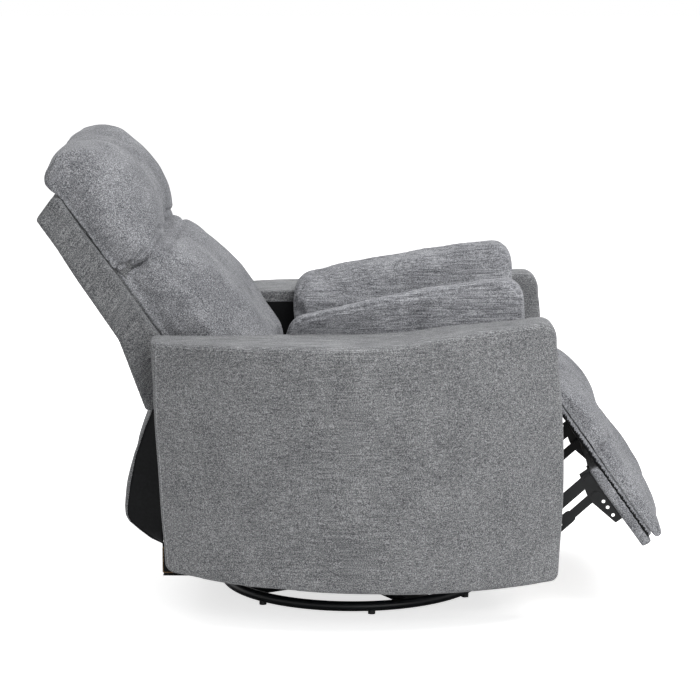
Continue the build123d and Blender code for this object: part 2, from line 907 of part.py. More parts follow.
def back_brackets():
    """Steel plates on the posts that turn on the back hinge pins."""
    top = back_point(back_hinge_down - back_bracket_length, (post_rear + post_front) / 2)
    outline = bar_outline(top, back_hinge, back_bracket_width)
    outline -= hole(back_hinge, link_pin_radius + running_clearance)
    return both_sides(plate(outline, post_outer_y, rail_outer_y - post_outer_y - free_gap))


def back_crank():
    """Slotted lever on the lowest back rail, moved by the actuator's rod."""
    top = back_point(back_rail_places[-1] + back_rail_width / 2, (post_rear + post_front) / 2)
    outline = bar_outline(top, rod_pin, back_crank_width)
    lean = degrees(crank_lean)
    slot_width = 2 * (clevis_pin_radius + crank_slot_play)
    slot_end = turned((back_hinge[0], back_hinge[1] - back_crank_length), back_hinge, lean)
    slot_foot = (
        slot_end[0] + crank_slot_length * sin(crank_lean),
        slot_end[1] - crank_slot_length * cos(crank_lean),
    )
    outline += hole(slot_foot, back_crank_width / 2)
    outline -= bar_outline(slot_end, slot_foot, slot_width)
    lever = plate(outline, actuator_y - crank_sheet / 2, crank_sheet)
    return lever - back_rails()[-1]


def hinge_plate_foot():
    return (rail_rear_x + hinge_foot_inset, rail_bottom + hinge_foot_rise)


def back_hinge_plates():
    """Steel plates on the side rails that carry the back hinge pins."""
    outline = bar_outline(hinge_plate_foot(), back_hinge, hinge_plate_width)
    outline -= hole(back_hinge, link_pin_radius)
    return both_sides(plate(outline, rail_outer_y, side_plate_sheet))


def back_hinge_pins():
    high = rail_outer_y + side_plate_sheet
    return both_sides(rivet(back_hinge, link_pin_radius, link_head_radius, 1.5, post_outer_y - free_gap, high))


def head_outline(fill, ear):
    """Side view of the head pillow, rolled over the back's top edge."""
    top = head_top_down - ear
    depth = head_depth * fill
    crown = 0.55 * depth
    rear_foot = back_point(head_rear_foot_down, cushion_parting)
    rear_top = back_point(1.2 * panel_top_drop, cushion_parting)
    heel = back_point(head_heel_down, head_heel_forward)
    brow = back_point(head_brow_down - ear, 0.93 * depth)
    chin = back_point(head_chin_down, 0.88 * depth)
    foot = back_point(head_foot_down, 0.6 * depth)
    edges = [
        Line(rear_foot, rear_top),
        ThreePointArc(rear_top, back_point(head_nape_down, head_nape_forward), heel),
        ThreePointArc(
            heel, back_point(top + 1.0, (head_heel_forward + crown) / 2), back_point(top, crown)
        ),
        ThreePointArc(back_point(top, crown), back_point(0.88 * top, 0.76 * depth), brow),
        ThreePointArc(brow, back_point(head_face_down, depth), chin),
        ThreePointArc(
            chin, back_point((head_chin_down + 4 * head_foot_down) / 5, 0.79 * depth), foot
        ),
        Line(foot, rear_foot),
    ]
    return Wire(edges)


def head_pillow():
    """Pillow with its ends a little thinner, and its top corners standing up as ears."""
    edge = head_half_width
    return soft_loft(head_outline, -edge, edge, (1.0, 0.0), (0.7, head_ear))


def lumbar_outline(fill, draw_in):
    """Side view of the lumbar cushion, before its foot is cut to clear the seat."""
    depth = lumbar_depth * fill
    top = lumbar_top_down + draw_in
    brow = lumbar_brow_down + draw_in
    rise = (brow - top) / 3
    at = [back_point(*place) for place in (
        (top, cushion_parting), (top + rise, 0.45 * depth), (top + rise, 0.72 * depth),
        (brow, 0.885 * depth), (lumbar_foot_down, 0.9 * depth), (lumbar_foot_down, cushion_parting),
    )]
    edges = [
        Line(at[0], at[1]),
        ThreePointArc(at[1], back_point(top + 0.6 * rise, 0.6 * depth), at[2]),
        ThreePointArc(at[2], back_point(top + 1.8 * rise, 0.82 * depth), at[3]),
        ThreePointArc(at[3], back_point(lumbar_full_down, depth), at[4]),
        Line(at[4], at[5]),
        Line(at[5], at[0]),
    ]
    return Wire(edges)


def turned_solid(solid, centre, angle):
    """Solid turned about an axis along Y through a side-view point, X towards Z."""
    place = Pos(centre[0], 0, centre[1])
    return place * Rot(0, -angle, 0) * place.inverse() * solid


def lumbar_cushion():
    edge = lumbar_half_width
    cushion = soft_loft(lumbar_outline, -edge, edge, (1.0, 0.0), (0.68, 10.0))
    reach = 2 * lumbar_foot_down
    below = block((-reach, reach), (-reach, reach), (-reach, 0.0))
    seat_room = Pos(back_hinge[0], 0, back_hinge[1]) * Rot(0, -seat_clear_angle, 0) * below
    pillow_room = block(
        (pillow_rear_x - 4.0, reach), (pillow_inner_y - 4.0, reach),
        (pillow_bottom - 4.0, pillow_top_front),
    )
    pillow_room += mirror(pillow_room, about=Plane.XZ)
    upright_room = turned_solid(pillow_room, back_hinge, back_upright_angle)
    shift = back_point(cushion_parting, 0.0)
    head_room = Pos(shift[0] - seam_top_x, 0, shift[1] - seam_top_z) * head_pillow()
    return cushion - seat_room - pillow_room - upright_room - head_room


def rear_flap():
    """Cloth that hangs from the back's lower edge to the rear of the seat box."""
    foot_x = rail_rear_x - cross_rail_thickness - flap_side_inset
    line = list(flap_places) + [(foot_x, cross_rail_bottom + cross_rail_height)]
    outside = [(x - flap_sheet, z - flap_sheet / 3) for x, z in line]
    return centred_plate(polygon(line + outside[::-1]), back_half_width - flap_side_inset)


# ------------------------------------------------------------------------ footrest
def pad_outline(fill, draw_in):
    """Side view of the footrest pad: a fold, two bulges and a rounded end."""
    base = footrest_board_sheet + free_gap
    fold_top = base + 2 * pad_fold_radius

    def at(down, out):
        return footrest_point(down, base + (out - base) * fill)

    end = pad_end_down - draw_in
    channel = at(pad_channel_down, pad_channel_height)
    edges = [
        Line(at(pad_fold_down, base), at(end + pad_end_reach / 4, base)),
        ThreePointArc(
            at(end + pad_end_reach / 4, base),
            at(end + 0.87 * pad_end_reach, (base + pad_end_height) / 2),
            at(end, pad_end_height),
        ),
        ThreePointArc(at(end, pad_end_height), at(pad_lower_crest, pad_height), channel),
        ThreePointArc(channel, at(pad_upper_crest, pad_height), at(pad_fold_down, fold_top)),
        ThreePointArc(
            at(pad_fold_down, fold_top),
            at(pad_fold_down - pad_fold_radius, base + pad_fold_radius),
            at(pad_fold_down, base),
        ),
    ]
    return Wire(edges)


def footrest_pad():
    edge = footrest_half_width
    return soft_loft(pad_outline, -edge, edge, (1.0, 0.0), (0.66, 8.0))


def footrest_slab(down, out, half_width):
    """Flat slab between two (down) and two (out) values of the footrest."""
    corners = [(down[0], out[0]), (down[1], out[0]), (down[1], out[1]), (down[0], out[1])]
    return centred_plate(polygon([footrest_point(*corner) for corner in corners]), half_width)


def footrest_board():
    down = (footrest_board_start, footrest_board_end)
    return footrest_slab(down, (0.0, footrest_board_sheet), footrest_board_half_width)


def footrest_lower_board():
    down = (lower_board_start, lower_board_end)
    return footrest_slab(down, (-lower_board_sheet, 0.0), lower_board_half_width)


def footrest_brackets():
    """Angle brackets with a row of holes, screwed under the lower board."""
    seat = -lower_board_sheet
    depth = seat - bracket_depth
    start_cut, end_cut = bracket_corner_cuts
    corners = [
        (bracket_start, seat), (bracket_end, seat), (bracket_end, depth + end_cut),
        (bracket_foot_places[1], depth), (bracket_foot_places[0], depth),
        (bracket_start, depth + start_cut),
    ]
    web = polygon([footrest_point(*corner) for corner in corners])
    for place in bracket_hole_places:
        web -= hole(footrest_point(place, bracket_hole_out), bracket_hole_radius)
    for joint in (upper_joint, lower_joint):
        web -= hole(joint, link_pin_radius)
    flange = polygon([footrest_point(*corner) for corner in (
        (bracket_start, seat), (bracket_end, seat),
        (bracket_end, seat - link_sheet), (bracket_start, seat - link_sheet),
    )])
    angle = plate(web, mid_y, link_sheet) + plate(flange, mid_y - bracket_flange, bracket_flange)
    return both_sides(angle)


# ---------------------------------------------------------------- footrest linkage
def link_pin(point, y_low, y_high):
    return rivet(point, link_pin_radius, link_head_radius, link_head_height, y_low, y_high)


def running_hole(point):
    return hole(point, link_pin_radius + running_clearance)


def long_links():
    """Cranked links from the side plates to the knee and the ankle."""
    outline = bar_outline(long_pivot, knee, long_link_width)
    outline += bar_outline(knee, ankle, long_link_width)
    outline -= hole(long_pivot, drive_shaft_radius)
    for joint in (knee, ankle):
        outline -= hole(joint, link_pin_radius)
    return both_sides(plate(outline, mid_y, link_sheet))


def short_links():
    outline = bar_outline(short_pivot, short_joint, short_link_width)
    outline -= running_hole(short_pivot)
    outline -= hole(short_joint, link_pin_radius)
    return both_sides(plate(outline, mid_y, link_sheet))


def upper_bars():
    outline = bar_outline(knee, upper_joint, upper_bar_width)
    for joint in (knee, short_joint, upper_joint):
        outline -= running_hole(joint)
    return both_sides(plate(outline, outer_y, link_sheet))


def lower_bars():
    """Bars with a wide lower end, a step and a narrower upper end."""
    step = between(ankle, lower_joint, lower_bar_wide_length / bar_length)
    spare = between(ankle, lower_joint, lower_bar_hole_place / bar_length)
    outline = bar_outline(ankle, lower_joint, lower_bar_width)
    outline += bar_outline(ankle, step, lower_bar_wide)
    for joint in (ankle, lower_joint):
        outline -= running_hole(joint)
    outline -= hole(spare, bracket_hole_radius)
    return both_sides(plate(outline, inner_y, link_sheet))


def short_pivot_pins():
    """Pivots of the short links on the side plates."""
    high = mid_y + link_sheet + layer_gap / 2
    return both_sides(link_pin(short_pivot, side_plate_y, high))


def long_link_pins():
    outer = outer_y + link_sheet + layer_gap / 2
    inner = inner_y - layer_gap / 2
    knee_pin = link_pin(knee, mid_y, outer)
    ankle_pin = link_pin(ankle, inner, mid_y + link_sheet)
    return both_sides(knee_pin, ankle_pin)


def short_link_pins():
    return both_sides(link_pin(short_joint, mid_y, outer_y + link_sheet + layer_gap / 2))


def bracket_pins():
    outer = outer_y + link_sheet + layer_gap / 2
    inner = inner_y - layer_gap / 2
    upper_pin = link_pin(upper_joint, mid_y, outer)
    lower_pin = link_pin(lower_joint, inner, mid_y + link_sheet)
    return both_sides(upper_pin, lower_pin)


def drive_shaft():
    """Shaft that turns both long links, with a nut outside each."""
    end = mid_y + link_sheet
    shaft = y_pin(long_pivot, drive_shaft_radius, -end - drive_nut_height, end + drive_nut_height)
    nut = y_pin(long_pivot, drive_nut_radius, end, end + drive_nut_height)
    return shaft + both_sides(nut)


def side_plate_outline():
    """Mechanism side plate: a leg on the side rail and an arm out to the pivots."""
    rear = side_plate_rear_x
    leg = rear + side_plate_leg
    half = long_link_width
    front = seat_front_rail_x + seat_rail_width / 2
    outline = polygon([
        (rear, rail_bottom + side_plate_foot_rise), (leg, rail_bottom + side_plate_foot_rise),
        (leg + side_plate_bend_x, side_plate_bend_z), (long_pivot[0] - half, long_pivot[1] - half),
        (front, side_plate_front_foot), (front, short_pivot[1] + half / 2),
        (long_pivot[0] - half, short_pivot[1] + half / 2), (rear, side_plate_rear_top),
    ])
    for place in (long_pivot, short_pivot):
        outline += hole(place, side_plate_boss)
    outline -= hole(long_pivot, drive_shaft_radius + running_clearance)
    outline -= hole(short_pivot, link_pin_radius)
    return outline


def side_plates():
    return both_sides(plate(side_plate_outline(), side_plate_y, side_plate_sheet))


def plate_spacers():
    """Wooden packers between the side rails and the mechanism side plates."""
    leg = side_plate_rear_x + side_plate_leg
    x = (side_plate_rear_x + packer_end_gap, leg - packer_end_gap)
    height = (rail_bottom + packer_foot_rise, rail_top - packer_top_drop)
    packer = block(x, (rail_outer_y, side_plate_y), height)
    return both_sides(packer)


# ------------------------------------------------------------------- back actuator
def x_rod(x_low, x_high, y, height, radius):
    """Round solid along X."""
    place = Pos((x_low + x_high) / 2, y, height) * Rot(0, 90, 0)
    return place * Cylinder(radius, x_high - x_low)


def actuator_front_x():
    return actuator_tube_rear_x + actuator_tube_length


def actuator_eye():
    """Side-view place of the eye at the housing's front end."""
    return (actuator_front_x() + actuator_gear_length + clevis_eye_reach, rod_height)


def back_actuator():
    """Housing tube, gear box with a front eye, and the motor beside the tube."""
    front = actuator_front_x()
    rod_room = x_rod(
        actuator_tube_rear_x - free_gap, front - actuator_gear_length,
        actuator_y, rod_height, actuator_rod_radius + running_clearance,
    )
    tube = x_rod(actuator_tube_rear_x, front, actuator_y, rod_height, actuator_radius) - rod_room
    motor_y = actuator_y + actuator_motor_offset
    half = actuator_gear_half
    gear = block(
        (front, front + actuator_gear_length),
        (actuator_y - half, motor_y + half),
        (rod_height - half, rod_height + half),
    )
    eye_place = actuator_eye()
    tongue = bar_outline((front + actuator_gear_length, rod_height), eye_place, 2 * fork_half_width)
    tongue -= hole(eye_place, clevis_pin_radius)
    eye = plate(tongue, actuator_y - fork_half_width, 2 * fork_half_width) - gear
    motor = x_rod(front - actuator_motor_length, front, motor_y, rod_height, actuator_motor_radius)
    return [tube, gear + eye, motor]


def back_rod():
    """Actuator rod with a fork and pin that carry the back's crank."""
    fork_end = rod_pin[0] + fork_length
    rod_start = fork_end - fork_half_width
    rod = x_rod(rod_start, fork_end + actuator_rod_length, actuator_y, rod_height, actuator_rod_radius)
    cheek = bar_outline(rod_pin, (fork_end - fork_half_width, rod_height), 2 * fork_half_width)
    fork = plate(cheek, actuator_y - fork_half_width, 2 * fork_half_width)
    slot_half = crank_sheet / 2 + free_gap
    slot = block(
        (rod_pin[0] - fork_length, rod_pin[0] + back_crank_width / 2 + crank_slot_length),
        (actuator_y - slot_half, actuator_y + slot_half),
        (rod_height - fork_length, rod_height + fork_length),
    )
    fork -= slot
    pin = y_pin(rod_pin, clevis_pin_radius, actuator_y - fork_half_width, actuator_y + fork_half_width)
    return rod + fork + pin


def actuator_mounts():
    """Cross bar with two ears at the actuator's eye, and a saddle under its tube."""
    eye_place = actuator_eye()
    half = mount_bar_width / 2
    bar_top = glide_plate_top + glide_cross_bar_height
    bar = block(
        (eye_place[0] - half, eye_place[0] + half), (-rail_inner_y, rail_inner_y), (glide_plate_top, bar_top),
    )
    ear = bar_outline((eye_place[0], bar_top), eye_place, mount_bar_width)
    ear -= hole(eye_place, clevis_pin_radius)
    near = actuator_y - fork_half_width - mount_ear_sheet
    far = actuator_y + fork_half_width
    ears = [plate(ear, y, mount_ear_sheet) - bar for y in (near, far)]
    pin = y_pin(eye_place, clevis_pin_radius, near, far + mount_ear_sheet)
    saddle = block(
        (-glide_cross_bar_x - half, -glide_cross_bar_x + half),
        (actuator_y - actuator_radius - half, actuator_y + actuator_radius + half),
        (bar_top, rod_height),
    )
    tube_place = (-glide_cross_bar_x - half, -glide_cross_bar_x + half, actuator_y, rod_height)
    return [bar, pin, saddle - x_rod(*tube_place, actuator_radius)] + ears


# ------------------------------------------------------------------ footrest motor
def footrest_motor():
    """Worm gear box round the drive shaft, its motor, and the plate that holds it."""
    x, height = long_pivot
    y = (drive_y - drive_gear_half_y, drive_y + drive_gear_half_y)
    z = (height - drive_gear_below, height + drive_gear_above)
    gear = block((x - drive_gear_half_x, x + drive_gear_half_x), y, z)
    gear -= y_pin(long_pivot, drive_shaft_radius + running_clearance, *y)
    rear = x - drive_gear_half_x
    motor = x_rod(rear - drive_motor_length, rear, drive_y, height - drive_motor_drop, drive_motor_radius)
    holder = block((x + drive_gear_half_x, seat_front_rail_x - seat_rail_width / 2), y, z)
    return [gear, motor, holder]


# --------------------------------------------------------------- power and control
def button_places():
    places = []
    for number in range(4):
        places.append((panel_x, panel_z + (number - 1.5) * button_pitch))
    return places


def control_panel():
    """Plate on the right arm's inner face, with a bore for each button."""
    outline = Pos(panel_x, panel_z) * RectangleRounded(panel_length, panel_height, 8.0)
    for place in button_places():
        outline -= hole(place, button_radius + button_clearance)
    return plate(outline, -arm_inner_y, panel_sheet)


def button(place):
    start = -arm_inner_y + button_travel + 0.5
    return y_pin(place, button_radius, start, -arm_inner_y + panel_sheet + button_height)


def power_box():
    length, width, height = power_box_size
    top = cross_rail_bottom + cross_rail_height
    y = (power_box_y - width / 2, power_box_y + width / 2)
    return block((rail_rear_x, rail_rear_x + length), y, (top - height, top))


def power_inlet():
    """Round low-voltage socket in the rear rail."""
    x = rail_rear_x - cross_rail_thickness
    rim = inlet_radius + inlet_rim
    place = Pos(x - inlet_rim / 2, inlet_y, cross_rail_bottom + 2 * rim) * Rot(0, 90, 0)
    body = place * Cylinder(rim, inlet_rim)
    return body - place * Cylinder(inlet_radius, 2 * inlet_depth)


def rail_screws():
    """Screw heads that fix the side plates and hinge plates to the seat box."""
    screws = []
    plate_face = side_plate_y + side_plate_sheet
    leg = side_plate_rear_x + side_plate_leg
    for x in (side_plate_rear_x + plate_screw_inset, leg - plate_screw_inset):
        place = (x, rail_bottom + plate_screw_rise)
        screws.append(y_pin(place, screw_head_radius, plate_face, plate_face + screw_head_height))
    hinge_face = rail_outer_y + side_plate_sheet
    for share in hinge_screw_shares:
        place = between(hinge_plate_foot(), back_hinge, share)
        screws.append(y_pin(place, screw_head_radius, hinge_face, hinge_face + screw_head_height))
    return both_sides(*screws)


# ------------------------------------------------------------------- write it all
def main():
    os.makedirs("parts", exist_ok=True)
    save("base_ring", base_ring())
    save("floor_glides", *floor_glides())
    save("cross_bars", *cross_bars())
    save("lower_swivel_plate", lower_swivel_plate())
    save("bearing_race", bearing_race())
    save("bearing_balls", *bearing_balls())
    save("swivel_bolt", swivel_bolt(), swivel_nut())

    save("upper_swivel_plate", upper_swivel_plate())
    save("carriage_floor", carriage_floor())
    save("hanger_brackets", *hanger_brackets())
    save("upper_glide_pins", *upper_glide_pins())
    save("front_glide_links", *glide_links(glide_pivot_x))
    save("rear_glide_links", *glide_links(-glide_pivot_x))

    save("lower_glide_pins", *lower_glide_pins())
    save("glide_rails", *glide_plates(), *glide_cross_bars())
    save("seat_side_rails", *seat_side_rails())
    save("bottom_rails", *rear_bottom_rail(), front_bottom_rail())
    save("arm_blocks", *arm_blocks(), *plate_spacers())
    save("seat_cross_rails", seat_front_rail(), *seat_rear_rail())
    save("seat_webbing", *seat_webbing())
    save("seat_cushion", seat_cushion())
    save("dust_cover", dust_cover())
    left_arm, left_pillow = arm_shell(), arm_pillow()
    save("left_arm_shell", left_arm)
    save("right_arm_shell", mirror(left_arm, about=Plane.XZ))
    save("left_arm_pillow", left_pillow)
    save("right_arm_pillow", mirror(left_pillow, about=Plane.XZ))

    save("side_plates", *side_plates())
    save("back_hinge_plates", *back_hinge_plates())
    save("frame_pivot_pins", *short_pivot_pins(), *back_hinge_pins())
    save("rail_screws", *rail_screws())
    save("rear_flap", rear_flap())
    save("control_panel", control_panel())
    save("power_inlet", power_inlet())
    save("power_box", power_box())
    save("back_actuator", *back_actuator())
    save("actuator_mounts", *actuator_mounts())
    save("footrest_motor", *footrest_motor())
    for number, place in enumerate(button_places(), start=1):
        save(f"button_{number}", button(place))

    save("back_posts", *back_posts())
    save("back_rails", *back_rails())
    save("back_brackets", *back_brackets(), back_crank())
    save("back_panel", back_panel())
    save("lumbar_cushion", lumbar_cushion())
    save("head_pillow", head_pillow())
    save("back_rod", back_rod())

    save("footrest_pad", footrest_pad())
    save("footrest_board", footrest_board())
    save("footrest_lower_board", footrest_lower_board())
    save("footrest_brackets", *footrest_brackets())
    save("bracket_pins", *bracket_pins())
    save("long_links", *long_links())
    save("long_link_pins", *long_link_pins())
    save("drive_shaft", drive_shaft())
    save("short_links", *short_links(), *short_link_pins())
    save("upper_bars", *upper_bars())
    save("lower_bars", *lower_bars())


main()
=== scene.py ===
"""Swivel glider recliner: upholstery, finishes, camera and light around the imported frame.

Metres, Z up, +X to the sitter's feet, +Y to the sitter's left, as in the frame.
"""

import json
from math import cos, pi, radians, sin

import bmesh
import bpy
import numpy as np
from mathutils import Euler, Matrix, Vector, noise
from mathutils.bvhtree import BVHTree


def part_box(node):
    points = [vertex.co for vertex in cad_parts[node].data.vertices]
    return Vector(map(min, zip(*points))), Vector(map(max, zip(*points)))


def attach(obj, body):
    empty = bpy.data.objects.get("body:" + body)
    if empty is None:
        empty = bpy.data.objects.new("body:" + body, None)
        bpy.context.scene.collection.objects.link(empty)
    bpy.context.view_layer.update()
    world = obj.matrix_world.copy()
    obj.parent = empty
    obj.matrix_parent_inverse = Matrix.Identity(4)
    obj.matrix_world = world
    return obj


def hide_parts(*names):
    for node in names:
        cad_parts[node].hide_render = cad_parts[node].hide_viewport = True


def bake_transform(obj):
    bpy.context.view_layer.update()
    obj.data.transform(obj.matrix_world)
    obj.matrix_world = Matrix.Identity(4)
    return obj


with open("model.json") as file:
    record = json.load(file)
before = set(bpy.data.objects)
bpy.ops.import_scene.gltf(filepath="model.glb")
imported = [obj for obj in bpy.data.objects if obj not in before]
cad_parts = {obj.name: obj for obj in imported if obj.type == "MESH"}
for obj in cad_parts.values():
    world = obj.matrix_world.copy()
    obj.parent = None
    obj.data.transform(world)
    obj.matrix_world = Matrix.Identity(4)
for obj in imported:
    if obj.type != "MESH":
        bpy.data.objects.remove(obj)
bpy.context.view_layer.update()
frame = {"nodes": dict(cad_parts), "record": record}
MM = 0.001

# The back's own directions: down along the seam between cushions and side panel,
# and forward square to it. The footrest's: down along the board, out to the pad.
back_top, back_lean = (-0.611, 0.888), radians(35.8)
foot_top, foot_slope = (0.452, 0.437), radians(54.8)

# Half the width across the back's seams and cushions, and across the footrest pad.
back_half, pad_half = 0.262, 0.285


# ------------------------------------------------------------------ small helpers
def linear(code):
    """Linear colour from an sRGB hex code."""
    values = [int(code[i:i + 2], 16) / 255 for i in (1, 3, 5)]
    return [v / 12.92 if v <= 0.04045 else ((v + 0.055) / 1.055) ** 2.4 for v in values] + [1.0]


def add(tree, kind, inputs=None, **settings):
    """Adds a node with its settings; inputs are values or the sockets linked to them."""
    node = tree.nodes.new(kind)
    for key, value in settings.items():
        setattr(node, key, value)
    for key, value in (inputs or {}).items():
        if isinstance(value, bpy.types.NodeSocket):
            tree.links.new(value, node.inputs[key])
        else:
            node.inputs[key].default_value = value
    return node


def new_material(name):
    material = bpy.data.materials.new(name)
    material.use_nodes = True
    material.node_tree.nodes.clear()
    return material, material.node_tree


def surface(tree, shader):
    add(tree, "ShaderNodeOutputMaterial", {"Surface": shader.outputs[0]})


def back_at(down, forward, y=0.0):
    """A point of the back from its own directions."""
    x = back_top[0] + down * sin(back_lean) + forward * cos(back_lean)
    z = back_top[1] - down * cos(back_lean) + forward * sin(back_lean)
    return Vector((x, y, z))


def foot_at(down, out, y=0.0):
    """A point of the footrest from its own directions."""
    x = foot_top[0] + down * cos(foot_slope) + out * sin(foot_slope)
    z = foot_top[1] - down * sin(foot_slope) + out * cos(foot_slope)
    return Vector((x, y, z))


# One metre along each of these directions.
down_way = back_at(1, 0) - back_at(0, 0)
forward_way = back_at(0, 1) - back_at(0, 0)
foot_down_way = foot_at(1, 0) - foot_at(0, 0)
foot_out_way = foot_at(0, 1) - foot_at(0, 0)


def back_places(co):
    """(down, forward) of many points."""
    x, z = co[:, 0] - back_top[0], co[:, 2] - back_top[1]
    down = x * sin(back_lean) - z * cos(back_lean)
    return down, x * cos(back_lean) + z * sin(back_lean)


def foot_places(co):
    """(down, out) of many points."""
    x, z = co[:, 0] - foot_top[0], co[:, 2] - foot_top[1]
    down = x * cos(foot_slope) - z * sin(foot_slope)
    return down, x * sin(foot_slope) + z * cos(foot_slope)


# ---------------------------------------------------------------------- materials
def chenille(name, colours, turn=(0, 0, 0), slub=1.0, cloud=0.35):
    """Heathered chenille: fuzzy yarn of several greys, so it shows flecks and no gloss.

    Yarns are about 2 mm apart, and slubs run 30 to 60 mm along the warp, which is
    the turned X direction. The flecks show at the yarns' own scale.
    """
    material, tree = new_material(name)
    place = add(tree, "ShaderNodeTexCoord")
    warp = add(tree, "ShaderNodeMapping", {"Vector": place.outputs["Object"], "Rotation": turn})
    long_way = add(tree, "ShaderNodeMapping", {"Vector": warp.outputs[0], "Scale": (0.06, 1, 1)})
    yarn = add(tree, "ShaderNodeTexNoise",
               {"Vector": warp.outputs[0], "Scale": 470.0, "Detail": 2.0, "Roughness": 0.75})
    streak = add(tree, "ShaderNodeTexNoise",
                 {"Vector": long_way.outputs[0], "Scale": 300.0, "Detail": 3.0, "Roughness": 0.7})
    pile = add(tree, "ShaderNodeTexNoise",
               {"Vector": warp.outputs[0], "Scale": 11.0, "Detail": 3.0, "Roughness": 0.55})
    fleck = add(tree, "ShaderNodeMix", {"Factor": 0.32 * slub, "A": yarn.outputs["Fac"],
                                        "B": streak.outputs["Fac"]})
    shade = add(tree, "ShaderNodeMix", {"Factor": cloud * 0.4, "A": fleck.outputs["Result"],
                                        "B": pile.outputs["Fac"]})
    ramp = add(tree, "ShaderNodeValToRGB", {"Fac": shade.outputs["Result"]})
    stops = ramp.color_ramp.elements
    stops[0].position, stops[0].color = 0.38, linear(colours[0])
    stops[1].position, stops[1].color = 0.62, linear(colours[2])
    stops.new(0.5).color = linear(colours[1])
    height = add(tree, "ShaderNodeMath", {0: yarn.outputs["Fac"], 1: streak.outputs["Fac"]},
                 operation="ADD")
    bump = add(tree, "ShaderNodeBump", {"Height": height.outputs[0], "Strength": 0.55,
                                        "Distance": 1.4 * MM})
    cloth = add(tree, "ShaderNodeBsdfPrincipled", {
        "Base Color": ramp.outputs["Color"], "Roughness": 0.92, "Normal": bump.outputs[0],
        "Specular IOR Level": 0.2, "Sheen Weight": 0.25, "Sheen Roughness": 0.45,
        "Sheen Tint": linear("#c9cacd")})
    surface(tree, cloth)
    return material


def lining_cloth():
    """Spun-bonded black lining: thin, flat, with a fine dimpled grid and a dull sheen."""
    material, tree = new_material("spunbond_lining")
    place = add(tree, "ShaderNodeTexCoord")
    dimple = add(tree, "ShaderNodeTexVoronoi", {"Vector": place.outputs["Object"], "Scale": 420.0})
    fibre = add(tree, "ShaderNodeTexNoise",
                {"Vector": place.outputs["Object"], "Scale": 160.0, "Detail": 4.0})
    ramp = add(tree, "ShaderNodeValToRGB", {"Fac": fibre.outputs["Fac"]})
    stops = ramp.color_ramp.elements
    stops[0].position, stops[0].color = 0.3, linear("#08090a")
    stops[1].position, stops[1].color = 0.75, linear("#131416")
    bump = add(tree, "ShaderNodeBump", {"Height": dimple.outputs["Distance"], "Strength": 0.35,
                                        "Distance": 0.5 * MM})
    cloth = add(tree, "ShaderNodeBsdfPrincipled", {
        "Base Color": ramp.outputs["Color"], "Roughness": 0.62, "Normal": bump.outputs[0],
        "Specular IOR Level": 0.15, "Sheen Weight": 0.08, "Sheen Roughness": 0.3})
    surface(tree, cloth)
    return material


def powder_coat(name, base, worn, rough=0.42):
    """Satin powder coat on steel: slight orange peel, a little dust in patches."""
    material, tree = new_material(name)
    place = add(tree, "ShaderNodeTexCoord")
    peel = add(tree, "ShaderNodeTexNoise",
               {"Vector": place.outputs["Object"], "Scale": 700.0, "Detail": 2.0})
    dust = add(tree, "ShaderNodeTexNoise",
               {"Vector": place.outputs["Object"], "Scale": 26.0, "Detail": 5.0, "Roughness": 0.6})
    ramp = add(tree, "ShaderNodeValToRGB", {"Fac": dust.outputs["Fac"]})
    stops = ramp.color_ramp.elements
    stops[0].position, stops[0].color = 0.4, linear(base)
    stops[1].position, stops[1].color = 0.8, linear(worn)
    gloss = add(tree, "ShaderNodeMapRange", {"Value": dust.outputs["Fac"], "To Min": rough - 0.06,
                                             "To Max": rough + 0.12})
    bump = add(tree, "ShaderNodeBump", {"Height": peel.outputs["Fac"], "Strength": 0.12,
                                        "Distance": 0.3 * MM})
    coat = add(tree, "ShaderNodeBsdfPrincipled", {
        "Base Color": ramp.outputs["Color"], "Roughness": gloss.outputs["Result"],
        "Normal": bump.outputs[0], "Specular IOR Level": 0.3})
    surface(tree, coat)
    return material


def zinc_plate():
    """Zinc plated steel, tumbled: pale, slightly blue, with soft uneven gloss."""
    material, tree = new_material("zinc_plated_steel")
    place = add(tree, "ShaderNodeTexCoord")
    spangle = add(tree, "ShaderNodeTexVoronoi", {"Vector": place.outputs["Object"], "Scale": 500.0})
    gloss = add(tree, "ShaderNodeMapRange", {"Value": spangle.outputs["Distance"], "To Min": 0.28,
                                             "To Max": 0.46})
    plate = add(tree, "ShaderNodeBsdfPrincipled", {
        "Base Color": linear("#b9bcc0"), "Metallic": 1.0, "Roughness": gloss.outputs["Result"]})
    surface(tree, plate)
    return material


def moulded_plastic(name, colour, rough):
    """Injection moulded plastic with a fine spark-eroded grain, so its gloss is broken up."""
    material, tree = new_material(name)
    place = add(tree, "ShaderNodeTexCoord")
    grain = add(tree, "ShaderNodeTexNoise",
                {"Vector": place.outputs["Object"], "Scale": 1400.0, "Detail": 2.0})
    bump = add(tree, "ShaderNodeBump", {"Height": grain.outputs["Fac"], "Strength": 0.2,
                                        "Distance": 0.2 * MM})
    gloss = add(tree, "ShaderNodeMapRange", {"Value": grain.outputs["Fac"], "To Min": rough - 0.05,
                                             "To Max": rough + 0.08})
    plastic = add(tree, "ShaderNodeBsdfPrincipled", {
        "Base Color": linear(colour), "Roughness": gloss.outputs["Result"],
        "Normal": bump.outputs[0], "IOR": 1.5})
    surface(tree, plastic)
    return material


